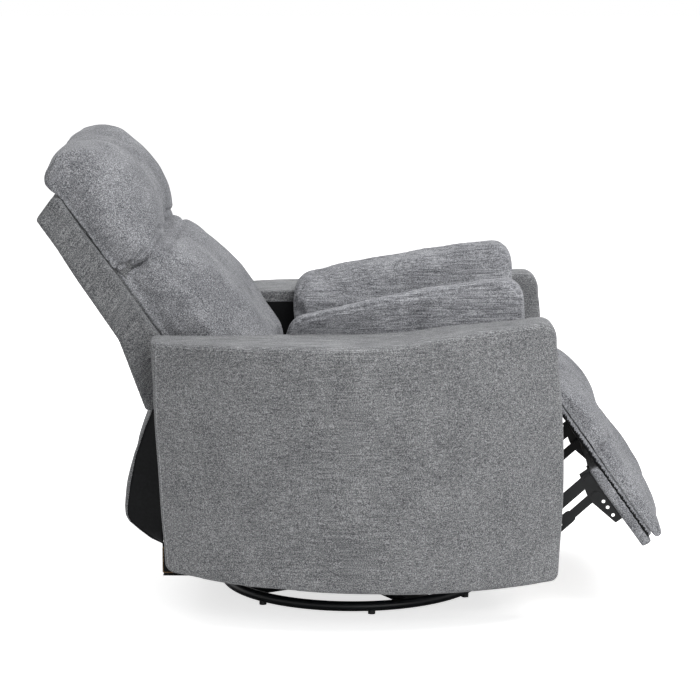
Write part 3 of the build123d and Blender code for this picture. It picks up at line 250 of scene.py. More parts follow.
def sawn_wood():
    """Sawn hardwood rails: growth rings along the rail, fine saw marks, no varnish."""
    material, tree = new_material("sawn_hardwood")
    place = add(tree, "ShaderNodeTexCoord")
    along = add(tree, "ShaderNodeMapping", {"Vector": place.outputs["Object"],
                                            "Scale": (1, 0.14, 1)})
    rings = add(tree, "ShaderNodeTexWave", {"Vector": along.outputs[0], "Scale": 26.0,
                                            "Distortion": 7.0, "Detail": 3.0, "Detail Scale": 1.4},
                bands_direction="DIAGONAL")
    pores = add(tree, "ShaderNodeTexNoise", {"Vector": along.outputs[0], "Scale": 420.0,
                                             "Detail": 4.0})
    mix = add(tree, "ShaderNodeMix", {"Factor": 0.45, "A": rings.outputs["Fac"],
                                      "B": pores.outputs["Fac"]})
    ramp = add(tree, "ShaderNodeValToRGB", {"Fac": mix.outputs["Result"]})
    stops = ramp.color_ramp.elements
    stops[0].position, stops[0].color = 0.2, linear("#8f6d47")
    stops[1].position, stops[1].color = 0.8, linear("#c9a577")
    bump = add(tree, "ShaderNodeBump", {"Height": mix.outputs["Result"], "Strength": 0.2,
                                        "Distance": 0.6 * MM})
    wood = add(tree, "ShaderNodeBsdfPrincipled", {
        "Base Color": ramp.outputs["Color"], "Roughness": 0.72, "Normal": bump.outputs[0]})
    surface(tree, wood)
    return material


def webbing_cloth():
    """Woven elastic webbing: ribs 4 mm apart across the strap."""
    material, tree = new_material("elastic_webbing")
    place = add(tree, "ShaderNodeTexCoord")
    ribs = add(tree, "ShaderNodeTexWave", {"Vector": place.outputs["Object"], "Scale": 80.0,
                                           "Distortion": 0.6}, bands_direction="X")
    ramp = add(tree, "ShaderNodeValToRGB", {"Fac": ribs.outputs["Fac"]})
    stops = ramp.color_ramp.elements
    stops[0].color, stops[1].color = linear("#1c1c1e"), linear("#3a3b3e")
    bump = add(tree, "ShaderNodeBump", {"Height": ribs.outputs["Fac"], "Strength": 0.5,
                                        "Distance": 0.6 * MM})
    strap = add(tree, "ShaderNodeBsdfPrincipled", {
        "Base Color": ramp.outputs["Color"], "Roughness": 0.85, "Normal": bump.outputs[0]})
    surface(tree, strap)
    return material


cushion_greys = ("#3f4044", "#7a7b7f", "#b7b8bb")
panel_greys = ("#3c3d40", "#707173", "#a6a7a8")
# The arm pillows' greys are a lighter copy of the cloth: painted light on their tops, which face
# up. Their stronger slubs are the cloth's own.
lit_pillow_greys = ("#434448", "#86878b", "#c3c4c8")
# The back panel's greys are a darker copy of the side panels' cloth: painted shade on a face turned
# from the lamps.
shaded_back_panel_greys = ("#37383b", "#68696b", "#9b9c9d")
# The arm bands' greys are a lighter copy of the panel cloth: painted light on faces turned up.
lit_band_greys = ("#434447", "#7d7e80", "#b4b5b6")
back_turn = (0, pi / 2 - back_lean, 0)
finish = {
    "back_cushion": chenille("chenille_back_cushions", cushion_greys, turn=back_turn, slub=0.5),
    "seat": chenille("chenille_seat", cushion_greys),
    "arm_pillow": chenille("chenille_arm_pillows_painted_light", lit_pillow_greys, slub=1.25, cloud=0.25),
    "arm_band": chenille("chenille_arm_bands_painted_light", lit_band_greys, slub=1.4, cloud=0.2),
    "footrest": chenille("chenille_footrest", cushion_greys, turn=(0, foot_slope, 0), slub=0.5),
    "panel": chenille("chenille_side_panels", panel_greys, slub=0.8, cloud=0.2),
    "back_panel": chenille("chenille_back_panel_painted_shade", shaded_back_panel_greys, turn=back_turn, slub=0.7,
                           cloud=0.2),
    "lining": lining_cloth(),
    "webbing": webbing_cloth(),
    "wood": sawn_wood(),
    "black_steel": powder_coat("satin_powder_coat", "#0b0c0e", "#17191b"),
    "ring_steel": powder_coat("gloss_powder_coat", "#0e1013", "#1a1d21", rough=0.33),
    "zinc": zinc_plate(),
    # The welts' greys are a lighter copy of the cloth: painted highlight along the round cords.
    "welt": chenille("chenille_welts_painted_highlight", ("#56575a", "#8b8c8e", "#b8b9ba"), slub=0.6, cloud=0.1),
    "thread": chenille("sewing_thread", ("#55565a", "#66676b", "#77787c"), slub=0.4, cloud=0.1),
    "black_plastic": moulded_plastic("grained_abs", "#17181a", 0.5),
    "buttons": moulded_plastic("satin_abs_buttons", "#4a4c50", 0.36),
}
slot_finish = {
    "lining": "lining", "webbing": "webbing", "frame_wood": "wood",
    "black_steel": "black_steel", "zinc_steel": "zinc", "black_plastic": "black_plastic",
    "button_plastic": "buttons", "upholstery": "seat", "panel_upholstery": "panel",
}


def dress_frame():
    """Every CAD node gets the finish of its slot; the ring base is a little glossier."""
    for part in frame["record"]["subparts"]:
        node = frame["nodes"][part["node"]]
        look = finish[slot_finish[part["material_slot"]]]
        if part["node"] in ("base_ring", "cross_bars"):
            look = finish["ring_steel"]
        node.data.materials.clear()
        node.data.materials.append(look)


# ---------------------------------------------------------------- shaping helpers
def new_piece(name, mesh):
    piece = bpy.data.objects.new(name, mesh)
    bpy.context.scene.collection.objects.link(piece)
    return piece


def copy_of(node, name):
    """A merged copy of a CAD node's mesh, as a new piece."""
    work = bmesh.new()
    work.from_mesh(frame["nodes"][node].data)
    bmesh.ops.remove_doubles(work, verts=work.verts, dist=0.02 * MM)
    bmesh.ops.recalc_face_normals(work, faces=work.faces)
    mesh = bpy.data.meshes.new(name)
    work.to_mesh(mesh)
    work.free()
    return new_piece(name, mesh)


def settle(piece):
    """Turns a piece's modifiers into its own mesh."""
    bpy.context.view_layer.update()
    evaluated = piece.evaluated_get(bpy.context.evaluated_depsgraph_get())
    mesh = bpy.data.meshes.new_from_object(evaluated)
    piece.modifiers.clear()
    old, piece.data = piece.data, mesh
    bpy.data.meshes.remove(old)
    return piece


def even_mesh(piece, size, relax=4):
    """Remeshes to even quads of one size and softens the steps this leaves."""
    remesh = piece.modifiers.new("even", "REMESH")
    remesh.mode, remesh.voxel_size = "VOXEL", size
    soften = piece.modifiers.new("soften", "SMOOTH")
    soften.factor, soften.iterations = 0.5, relax
    return settle(piece)


def points_of(piece):
    co = np.empty(len(piece.data.vertices) * 3)
    piece.data.vertices.foreach_get("co", co)
    return co.reshape(-1, 3)


def normals_of(piece):
    values = np.empty(len(piece.data.vertices) * 3)
    piece.data.vertices.foreach_get("normal", values)
    return values.reshape(-1, 3)


def put_points(piece, co):
    piece.data.vertices.foreach_set("co", co.ravel())
    piece.data.update()


def swell(piece, amount):
    """Moves every point along its normal by an amount, or by one amount each."""
    amount = np.broadcast_to(np.asarray(amount, float), len(piece.data.vertices))
    put_points(piece, points_of(piece) + normals_of(piece) * amount[:, None])


def push(piece, way, amount):
    """Moves points along one direction, each by its own amount."""
    put_points(piece, points_of(piece) + np.outer(amount, way))


def inflate(piece, held, pressure=4.0, cap=0.024, slack=0.0, start_in=0.004):
    """Cloth under air pressure; held is each point's share, from 0, free, to 1, fixed."""
    swell(piece, -start_in * (1 - held(points_of(piece))))
    start = points_of(piece)
    group = piece.vertex_groups.new(name="held")
    weights = held(start)
    for value in np.unique(np.round(weights, 1)):
        chosen = np.nonzero(np.round(weights, 1) == value)[0].tolist()
        group.add(chosen, float(value), "REPLACE")
    cloth = piece.modifiers.new("cloth", "CLOTH")
    settings = cloth.settings
    settings.quality = 5
    settings.mass = 0.3
    settings.tension_stiffness = settings.compression_stiffness = 12.0
    settings.bending_stiffness = 0.4
    settings.use_pressure = True
    settings.uniform_pressure_force = pressure
    settings.shrink_min = -slack
    settings.vertex_group_mass = "held"
    settings.effector_weights.gravity = 0.0
    last_frame = 20
    cloth.point_cache.frame_start, cloth.point_cache.frame_end = 1, last_frame
    for number in range(1, last_frame + 1):
        bpy.context.scene.frame_set(number)
    settle(piece)
    bpy.context.scene.frame_set(1)
    piece.vertex_groups.clear()
    move = points_of(piece) - start
    length = np.linalg.norm(move, axis=1)
    share = np.minimum(1.0, cap / np.maximum(length, 1e-9))
    put_points(piece, start + move * share[:, None])
    return piece


def refine(piece):
    """One round of subdivision, with smooth shading."""
    finer = piece.modifiers.new("finer", "SUBSURF")
    finer.levels = finer.render_levels = 1
    settle(piece)
    piece.data.shade_smooth()
    return piece


def distance_to(co, path):
    """Each point's distance to a line through the path's points, and its place along it."""
    best = np.full(len(co), 1e9)
    along = np.zeros(len(co))
    passed = 0.0
    for a, b in zip(path[:-1], path[1:]):
        a, b = np.array(a), np.array(b)
        run = b - a
        length = np.linalg.norm(run)
        if length == 0:
            continue
        share = np.clip(((co - a) @ run) / length ** 2, 0, 1)
        gap = np.linalg.norm(co - a - share[:, None] * run, axis=1)
        nearer = gap < best
        best[nearer] = gap[nearer]
        along[nearer] = passed + share[nearer] * length
        passed += length
    return best, along


def sew(piece, path, depth, width, pucker=0.0):
    """Draws a seam in: a groove along a path, with small gathers beside it."""
    gap, along = distance_to(points_of(piece), path)
    groove = -depth * np.exp(-(gap / width) ** 2)
    gather_pitch, reach = 0.017, 3.5 * width
    gathers = np.sin(along * 2 * pi / gather_pitch) * np.exp(-(gap / reach) ** 2)
    swell(piece, groove + pucker * gathers)


def rumple(piece, size, amount, seed):
    """Soft uneven hollows of one size, as in hand-filled upholstery."""
    co = points_of(piece) / size + seed
    values = np.array([noise.noise(Vector(point)) for point in co])
    swell(piece, amount * values)


def join_up(piece, look, body, nodes=()):
    """Finish, body and replaced nodes."""
    piece.data.materials.clear()
    piece.data.materials.append(finish[look])
    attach(piece, body)
    if nodes:
        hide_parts(*nodes)
    return piece


def ramp(values, low, high):
    """0 below low, 1 above high, straight between."""
    return np.clip((values - low) / (high - low), 0, 1)


# ----------------------------------------------------------- repeated small pieces
def row_tree(look):
    """Short rods laid end to end along a line of edges: stitches, or staples."""
    tree = bpy.data.node_groups.new("row_of_rods", "GeometryNodeTree")
    face = tree.interface
    face.new_socket("Geometry", in_out="INPUT", socket_type="NodeSocketGeometry")
    for name in ("Pitch", "Rod Length", "Rod Radius"):
        face.new_socket(name, in_out="INPUT", socket_type="NodeSocketFloat")
    face.new_socket("Geometry", in_out="OUTPUT", socket_type="NodeSocketGeometry")
    given = add(tree, "NodeGroupInput")
    line = add(tree, "GeometryNodeMeshToCurve", {"Mesh": given.outputs["Geometry"]})
    even = add(tree, "GeometryNodeResampleCurve",
               {"Curve": line.outputs[0], "Length": given.outputs["Pitch"]}, mode="LENGTH")
    run = add(tree, "GeometryNodeInputTangent")
    turn = add(tree, "FunctionNodeAlignRotationToVector", {"Vector": run.outputs[0]}, axis="Z")
    rod = add(tree, "GeometryNodeMeshCylinder", {
        "Vertices": 6, "Radius": given.outputs["Rod Radius"], "Depth": given.outputs["Rod Length"]})
    rods = add(tree, "GeometryNodeInstanceOnPoints", {
        "Points": even.outputs[0], "Instance": rod.outputs["Mesh"], "Rotation": turn.outputs[0]})
    real = add(tree, "GeometryNodeRealizeInstances", {"Geometry": rods.outputs[0]})
    done = add(tree, "GeometryNodeSetMaterial", {"Geometry": real.outputs[0],
                                                 "Material": finish[look]})
    add(tree, "NodeGroupOutput", {"Geometry": done.outputs[0]})
    return tree


def run_tree(piece, tree, inputs):
    """Gives a piece the tree's result as its own mesh; inputs are set by identifier first."""
    grow = piece.modifiers.new("grow", "NODES")
    grow.node_group = tree
    for item in tree.interface.items_tree:
        if item.in_out == "INPUT" and item.name in inputs:
            grow[item.identifier] = inputs[item.name]
    return settle(piece)


def line_mesh(name, paths):
    """A mesh of bare edges along each path."""
    points, edges = [], []
    for path in paths:
        first = len(points)
        points += [tuple(point) for point in path]
        edges += [(first + i, first + i + 1) for i in range(len(path) - 1)]
    mesh = bpy.data.meshes.new(name)
    mesh.from_pydata(points, edges, [])
    return new_piece(name, mesh)


def stitch_row(name, paths, look, body, pitch=5.0, length=3.6, radius=0.45):
    """Thread stitches, or staples, along paths; sizes in millimetres."""
    piece = line_mesh(name, paths)
    run_tree(piece, row_tree(look), {
        "Pitch": pitch * MM, "Rod Length": length * MM, "Rod Radius": radius * MM})
    return join_up(piece, look, body)


def arm_welt(name, path, radius):
    """A sewn welt on an arm: a round cord covered in a lighter copy of the cloth, painted
    highlight; its radius is in millimetres.
    """
    line = bpy.data.curves.new(name, "CURVE")
    line.dimensions = "3D"
    line.bevel_depth, line.bevel_resolution = radius * MM, 2
    line.use_fill_caps = True
    spline = line.splines.new("POLY")
    spline.points.add(len(path) - 1)
    for point, place in zip(spline.points, path):
        point.co = (*place, 1.0)
    source = bpy.data.objects.new(name, line)
    bpy.context.scene.collection.objects.link(source)
    mesh = bpy.data.meshes.new_from_object(source)
    bpy.data.objects.remove(source)
    mesh.shade_smooth()
    return join_up(new_piece(name, mesh), "welt", "chair")


def laid_on(piece, path, lift=0.0):
    """A path's points dropped onto the nearest surface of a piece, lifted off it a little."""
    tree = BVHTree.FromObject(piece, bpy.context.evaluated_depsgraph_get())
    result = []
    for point in path:
        place, normal, _, _ = tree.find_nearest(Vector(point))
        result.append(place + normal * lift)
    return result


def fine_path(corners, step=0.006):
    """Points every few millimetres along straight runs."""
    result = []
    for a, b in zip(corners[:-1], corners[1:]):
        a, b = Vector(a), Vector(b)
        count = max(1, int((b - a).length / step))
        result += [a.lerp(b, i / count) for i in range(count)]
    return result + [Vector(corners[-1])]


def edge_line(piece, axis, side, xs, reach=0.007):
    """A piece's highest (side 1) or lowest value on an axis at each x, read from its mesh."""
    co = points_of(piece)
    result = []
    for x in xs:
        near = co[np.abs(co[:, 0] - x) < reach]
        result.append(near[:, axis].max() if side > 0 else near[:, axis].min())
    return np.array(result)


# ------------------------------------------------------------------ back cushions
def back_hold(co):
    """The cushions' rear faces are fixed to the back; the rest is free."""
    _, forward = back_places(co)
    return 1 - ramp(forward, 0.003, 0.024)


# Where the head pillow rests on the lumbar cushion, as (down, forward) places.
cushion_meeting = ((0.171, 0.007), (0.172, 0.051), (0.176, 0.106), (0.179, 0.130), (0.183, 0.153))


# Pleats in the head pillow's sides, as (down, forward) places with their depths: two under
# each ear, one at the lower rear corner and a long shallow one above that.
head_pleats = (
    (((-0.085, 0.107), (-0.060, 0.100)), 0.006),
    (((-0.062, 0.108), (-0.064, 0.135)), 0.005),
    (((0.168, 0.020), (0.145, 0.050)), 0.003),
    (((0.130, 0.045), (0.080, 0.105)), 0.0025))


def draw_in(piece, places, depth=0.006, width=0.006):
    """Shadow line along a line of places, down both sides and across the front."""
    for side in (-1, 1):
        line = fine_path([back_at(*place, back_half * side) for place in places])
        sew(piece, laid_on(piece, line), depth, width)
    front = fine_path([back_at(*places[-1], y) for y in (-back_half, back_half)])
    sew(piece, laid_on(piece, front), depth, width)


def head_pillow():
    """Head pillow: full, with round ears at its top corners and gathers below them."""
    piece = even_mesh(copy_of("head_pillow", "head_pillow_cover"), 6 * MM, relax=2)

    def held(co):
        down, _ = back_places(co)
        return back_hold(co) * ramp(down, -0.045, -0.025)

    inflate(piece, held, pressure=3.5, cap=0.014, slack=0.012, start_in=0.006)
    refine(piece)
    down, forward = back_places(points_of(piece))
    foot = ramp(down, 0.125, 0.18) * ramp(forward, 0.02, 0.06)
    push(piece, down_way, 0.003 * foot)
    push(piece, forward_way, -0.007 * (1 - held(points_of(piece))))
    for side in (-1, 1):
        for pleat, depth in head_pleats:
            line = fine_path([back_at(*place, back_half * side) for place in pleat])
            sew(piece, laid_on(piece, line), depth, width=0.007, pucker=0.0008)
    draw_in(piece, cushion_meeting)
    rumple(piece, size=0.085, amount=0.0035, seed=3.1)
    rumple(piece, size=0.03, amount=0.0008, seed=11.4)
    return join_up(piece, "back_cushion", "back", ["head_pillow"])


def lumbar_cushion():
    """Lumbar cushion: full in front, drawn back at its foot, with slack folds at its sides."""
    piece = even_mesh(copy_of("lumbar_cushion", "lumbar_cushion_cover"), 6 * MM, relax=2)
    inflate(piece, back_hold, pressure=3.0, cap=0.012, slack=0.010, start_in=0.006)
    refine(piece)
    down, forward = back_places(points_of(piece))
    push(piece, down_way, -0.018 * (1 - ramp(down, 0.19, 0.25)) * ramp(forward, 0.02, 0.06))
    push(piece, forward_way, -0.010 * ramp(down, 0.36, 0.46) * ramp(forward, 0.02, 0.08))
    draw_in(piece, cushion_meeting)
    for edge in (-back_half, back_half):
        sew(piece, [back_at(0.20, 0.085, edge), back_at(0.30, 0.115, edge),
                    back_at(0.46, 0.120, edge)], depth=0.003, width=0.012)
        sew(piece, [back_at(0.235, 0.02, edge), back_at(0.33, 0.075, edge)],
            depth=0.002, width=0.012)
    rumple(piece, size=0.11, amount=0.0055, seed=7.7)
    rumple(piece, size=0.035, amount=0.0012, seed=2.9)
    return join_up(piece, "back_cushion", "back", ["lumbar_cushion"])


def back_crease():
    """Cloth strip at the bottom of the crease between the cushions and the back's sides.

    It has a wider tongue behind the corner where the two cushions meet.
    """
    strip_top, strip_length, strip_half = -0.022, 0.50, 0.010
    meeting, tongue, tongue_half = 0.176, 0.034, 0.022
    strip_y = back_half - 0.001
    work = bmesh.new()
    bmesh.ops.create_grid(work, x_segments=2, y_segments=60, size=0.5)
    for point in work.verts:
        down = strip_top + (point.co.y + 0.5) * strip_length
        near = max(0.0, 1 - ((down - meeting) / tongue_half) ** 2)
        reach = strip_half + (tongue * near if point.co.x > 0 else 0.0)
        point.co = back_at(down, 2 * point.co.x * reach, -strip_y)
    thick = bmesh.ops.extrude_face_region(work, geom=work.faces[:])
    for item in thick["geom"]:
        if isinstance(item, bmesh.types.BMVert):
            item.co.y = strip_y
    bmesh.ops.recalc_face_normals(work, faces=work.faces)
    mesh = bpy.data.meshes.new("back_crease_strip")
    work.to_mesh(mesh)
    work.free()
    # The strip takes the back panel's darker copy of the cloth, painted shade.
    return join_up(new_piece("back_crease_strip", mesh), "back_panel", "back")


# ---------------------------------------------------------------- seat and footrest
def seat_cushion():
    """Seat cushion, crowned on top and lower at the rear, where the lumbar cushion presses."""
    piece = even_mesh(copy_of("seat_cushion", "seat_cushion_cover"), 7 * MM, relax=3)
    low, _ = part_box("seat_cushion")

    def held(co):
        return 1 - ramp(co[:, 2], low.z + 0.045, low.z + 0.07)

    inflate(piece, held, pressure=3.0, cap=0.012, slack=0.01, start_in=0.006)
    refine(piece)
    co = points_of(piece)
    rear = 1 - ramp(co[:, 0], low.x + 0.02, low.x + 0.14)
    push(piece, (0, 0, 1), -0.007 * rear * ramp(co[:, 2], low.z + 0.05, low.z + 0.09))
    rumple(piece, size=0.12, amount=0.004, seed=1.3)
    return join_up(piece, "seat", "chair", ["seat_cushion"])


def footrest_pad():
    """Two long bulges with a sewn channel between them, gathered at its ends.

    The lower bulge is thinner, and the tip runs straight across.
    """
    piece = even_mesh(copy_of("footrest_pad", "footrest_pad_cover"), 5 * MM, relax=2)

    def held(co):
        _, out = foot_places(co)
        return 1 - ramp(out, 0.013, 0.022)

    inflate(piece, held, pressure=3.0, cap=0.010, slack=0.01, start_in=0.005)
    refine(piece)
    down, out = foot_places(points_of(piece))
    channel_down = 0.113
    middle = 1 - np.clip(points_of(piece)[:, 1] / pad_half, -1, 1) ** 2
    push(piece, foot_out_way, -0.009 * ramp(down, 0.12, 0.17) * ramp(out, 0.02, 0.05))
    push(piece, foot_down_way, (0.009 - 0.018 * middle) * ramp(down, 0.24, 0.34))
    channel = [foot_at(channel_down, 0.050, y) for y in np.linspace(-pad_half, pad_half, 60)]
    first, last = ([foot_at(channel_down + 0.004, out, y) for out in (0.040, 0.030, 0.020)]
                   for y in (-pad_half, pad_half))
    channel = first[::-1] + channel + last
    sew(piece, laid_on(piece, channel), depth=0.008, width=0.006, pucker=0.0012)
    for side in (-1, 1):
        corner = [foot_at(down, out, pad_half * side)
                  for down, out in ((0.092, 0.034), (channel_down, 0.026), (0.136, 0.036))]
        sew(piece, laid_on(piece, corner), depth=0.004, width=0.006, pucker=0.0015)
        sew(piece, [foot_at(0.02, 0.058, 0.240 * side), foot_at(0.045, 0.036, 0.278 * side)],
            depth=0.0025, width=0.007)
    rumple(piece, size=0.08, amount=0.0045, seed=5.2)
    rumple(piece, size=0.03, amount=0.001, seed=6.1)
    return join_up(piece, "footrest", "footrest", ["footrest_pad"])


def footrest_covers():
    """The footrest's two boards, covered.

    The lower one is wrapped in a thin pad of cloth. The upper one has the pad's cloth
    turned over its edges, and a black lining stapled to its underside.
    """
    cloth_edge, staple_y = 0.006, 0.272
    lower = even_mesh(copy_of("footrest_lower_board", "lower_board_cover"), 4 * MM, relax=3)
    swell(lower, 0.0025)
    down, _ = foot_places(points_of(lower))
    push(lower, foot_down_way, -0.012 * ramp(down, down.max() - 0.08, down.max()))
    rumple(lower, size=0.06, amount=0.0015, seed=3.7)
    lower.data.shade_smooth()
    join_up(lower, "footrest", "footrest", ["footrest_lower_board"])
    lining = even_mesh(copy_of("footrest_board", "footrest_board_lining"), 4 * MM, relax=1)
    swell(lining, 0.0008)
    lining.data.shade_smooth()
    join_up(lining, "lining", "footrest", ["footrest_board"])
    lining.data.materials.append(finish["footrest"])
    for face in lining.data.polygons:
        _, out = foot_places(np.array([face.center]))
        if out[0] > cloth_edge:
            face.material_index = 1
    rows = [fine_path([foot_at(-0.035, -0.0006, y), foot_at(0.31, -0.0006, y)])
            for y in (-staple_y, staple_y)]
    stitch_row("footrest_lining_staples", rows, "zinc", "footrest",
               pitch=38, length=10, radius=0.5)


# --------------------------------------------------------------- arms, arm pillows
# How far the arm pillows lean outwards above the arms, as (x, distance) places.
lean_places = ((-0.117, 0.052), (0.005, 0.030), (0.138, 0.010), (0.270, 0.007))
arm_top, lean_height = 0.604, 0.085


def arm_pillow(side):
    """Boxed arm pillow with sewn edges, whose rear end leans outwards over the arm's top."""
    node = f"{side}_arm_pillow"
    out = 1 if side == "left" else -1
    piece = even_mesh(copy_of(node, f"{node}_cover"), 5 * MM, relax=2)
    low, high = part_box(node)
    outer, inner = (high.y, low.y) if out > 0 else (low.y, high.y)

    def held(co):
        on_arm = 1 - ramp((outer - co[:, 1]) * out, 0.003, 0.02)
        return np.maximum(on_arm, 1 - ramp(co[:, 2], low.z + 0.01, low.z + 0.03))

    inflate(piece, held, pressure=3.0, cap=0.008, slack=0.01, start_in=0.004)
    refine(piece)
    xs = np.linspace(low.x + 0.035, high.x - 0.03, 40)
    top = edge_line(piece, 2, 1, xs)
    front_zs = np.linspace(top[-1] - 0.03, low.z + 0.02, 12)
    inset = 0.012
    for y in (inner + 0.003 * out, outer - 0.003 * out):
        path = [Vector((x, y, z - inset)) for x, z in zip(xs, top)]
        path += [Vector((high.x - inset, y, z)) for z in front_zs]
        sew(piece, path, depth=0.0035, width=0.0035, pucker=0.0007)
    co = points_of(piece)
    rumple(piece, size=0.07, amount=0.003, seed=2.4 if side == "left" else 9.1)
    gathers = np.exp(-((co[:, 0] - low.x) / 0.03) ** 2) * ramp(co[:, 2], low.z + 0.05, low.z + 0.09)
    gather_pitch = 0.013
    swell(piece, 0.0018 * gathers * np.sin(co[:, 1] * 2 * pi / gather_pitch))
    co = points_of(piece)
    lean = np.interp(co[:, 0], *zip(*lean_places))
    co[:, 1] += out * lean * ramp(co[:, 2], arm_top, arm_top + lean_height)
    put_points(piece, co)
    # Its cloth is the lighter copy of the chenille, painted light.
    return join_up(piece, "arm_pillow", "chair", [node])


def arm_shell(side):
    """Bowed arm: a soft top band sewn to the outer panel, with welts on its top and rear edges.

    Behind the pillow its inside is black lining, up to a strip of the outer cloth; the black is
    also painted shade for the deep gap between pillow, back and arm.
    """
    shaded_lining_top, shaded_lining_front, inner_seam_y = 0.592, -0.02, 0.318
    lit_band_low, squarely = 0.5, 0.6
    node = f"{side}_arm_shell"
    out = 1 if side == "left" else -1
    piece = even_mesh(copy_of(node, f"{node}_cover"), 7 * MM, relax=5)
    refine(piece)
    low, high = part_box(node)
    xs = np.linspace(low.x + 0.012, high.x - 0.022, 90)
    top = edge_line(piece, 2, 1, xs)
    outer = edge_line(piece, 1, out, xs)
    seam = [Vector((x, y - 0.002 * out, z - 0.013)) for x, y, z in zip(xs, outer, top)]
    sew(piece, seam, depth=0.0022, width=0.004, pucker=0.0003)
    inner = [Vector((x, inner_seam_y * out, z)) for x, z in zip(xs, top)]
    sew(piece, inner, depth=0.0015, width=0.005)
    rumple(piece, size=0.16, amount=0.0035, seed=4.4 if side == "left" else 6.6)
    straight_above, slant = 0.45, 0.09
    rear = [Vector((low.x + 0.013 + slant * max(0.0, straight_above - z), outer[0], z))
            for z in np.linspace(0.60, 0.13, 60)]
    rear = laid_on(piece, rear, -0.0006)
    arm_welt(f"{side}_arm_rear_welt", rear, 1.5)
    ridge = laid_on(piece, [point + Vector((0, 0.001 * out, 0.004)) for point in seam], -0.0009)
    arm_welt(f"{side}_arm_top_welt", ridge, 1.2)
    join_up(piece, "panel", "chair", [node])
    for look in ("arm_band", "lining"):
        piece.data.materials.append(finish[look])
    # Faces turned up above lit_band_low take the band's lighter copy of the cloth: painted light on
    # the arm's top.
    for face in piece.data.polygons:
        centre, facing = face.center, face.normal
        if facing.z > squarely and centre.z > lit_band_low:
            face.material_index = 1
        # Faces turned inwards behind the pillow take the black lining, partly painted shade in the
        # gap there.
        if -facing.y * out > squarely and centre.x < shaded_lining_front and centre.z < shaded_lining_top:
            face.material_index = 2


def back_panel():
    """Cloth on the back's frame: padded top edge, boxed sides, seams down its rear face."""
    piece = even_mesh(copy_of("back_panel", "back_panel_cover"), 5 * MM, relax=5)
    piece.data.shade_smooth()
    down, _ = back_places(points_of(piece))
    swell(piece, 0.004 * (1 - ramp(down, -0.02, 0.06)))
    rear_face = ((0.0, -0.064), (0.295, -0.079), (0.440, -0.117))
    seams = [fine_path([back_at(*place, back_half * side) for place in rear_face])
             for side in (-1, 1)]
    cross_seam = (0.262, -0.078)
    cross = fine_path([back_at(*cross_seam, -back_half), back_at(*cross_seam, back_half)])
    for path in seams + [cross]:
        sew(piece, path, depth=0.0022, width=0.004)
    rumple(piece, size=0.14, amount=0.003, seed=8.2)
    beside = 0.007
    rows = [laid_on(piece, [point - Vector((0, beside * np.sign(point.y), 0)) for point in path],
                    0.0002) for path in seams]
    stitch_row("back_seam_stitches", rows, "thread", "back")
    # Its cloth is the darker copy of the chenille, painted shade.
    return join_up(piece, "back_panel", "back", ["back_panel"])


# ------------------------------------------------------- cloth under and behind
# The flap's fall behind the chair, as (x, z) places from the back's foot to the rear rail.
flap_line = (
    (-0.430, 0.466), (-0.437, 0.440), (-0.450, 0.410), (-0.472, 0.345), (-0.484, 0.285),
    (-0.491, 0.235), (-0.491, 0.214), (-0.484, 0.200), (-0.466, 0.184), (-0.440, 0.164),
    (-0.413, 0.151))
flap_half, flap_corner = back_half, 0.010


def flap_grid(wing):
    """Rows of points down the rear flap, each with wings of one reach at its sides.

    The wings end at a line across the box, which lies a little further back low down.
    """
    wing_front, low_wing_front, low_part = -0.398, -0.412, 0.19
    line = np.array(flap_line)
    reach = np.concatenate([[0], np.cumsum(np.linalg.norm(np.diff(line, axis=0), axis=1))])
    places = np.linspace(0, reach[-1], 60)
    xs, zs = (np.interp(places, reach, line[:, k]) for k in (0, 1))
    half, radius, sag = flap_half, flap_corner, 0.004
    rows = []
    for x, z in zip(xs, zs):
        front = min(x + wing, wing_front if z > low_part else low_wing_front)
        side = [(front, half + 3.5 * radius), (x + radius, half + radius),
                (x + 0.3 * radius, half + 0.7 * radius), (x, half)]
        middle = [(x - sag * cos(y / half * pi / 2), y) for y in np.linspace(half, -half, 60)]
        depth = [(a, b) for a, b in np.linspace(side[0], side[1], 14)]
        ends = depth[:-1] + side[1:-1] if wing else side[2:3]
        row = ends + middle + [(a, -b) for a, b in ends[::-1]]
        rows.append([(a, b, z) for a, b in row])
    return rows


def rear_flap():
    """Cloth bag from the back's foot to the seat box: grey outside, black lining within."""
    for name, look, shift, wing in (("rear_flap_cloth", "panel", 0.0, 0.0),
                                    ("rear_flap_lining", "lining", 0.0016, 0.080)):
        rows = flap_grid(wing)
        width = len(rows[0])
        points = [Vector(point) for row in rows for point in row]
        faces = [(i * width + j, i * width + j + 1, (i + 1) * width + j + 1, (i + 1) * width + j)
                 for i in range(len(rows) - 1) for j in range(width - 1)]
        mesh = bpy.data.meshes.new(name)
        mesh.from_pydata(points, [], faces)
        piece = new_piece(name, mesh)
        co = points_of(piece)
        across, height = co[:, 1].copy(), co[:, 2]
        folds = (0.0035 * np.sin(across * 23 + height * 14)
                 + 0.002 * np.sin(across * 51 - height * 30))
        hang = np.sin(pi * ramp(height, 0.15, 0.44))
        rear_face = np.abs(across) < flap_half + 0.0001
        co[:, 0] += folds * hang * rear_face
        co[:, 1] += 0.004 * hang * np.sin(height * 60 + 1.0) * ~rear_face
        put_points(piece, co)
        swell(piece, shift)
        thicken = piece.modifiers.new("thickness", "SOLIDIFY")
        thicken.thickness, thicken.offset = 0.0009, 0.0
        settle(piece)
        piece.data.shade_smooth()
        piece.data.materials.clear()
        piece.data.materials.append(finish[look])
        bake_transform(piece)
        if look == "panel":
            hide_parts("rear_flap")


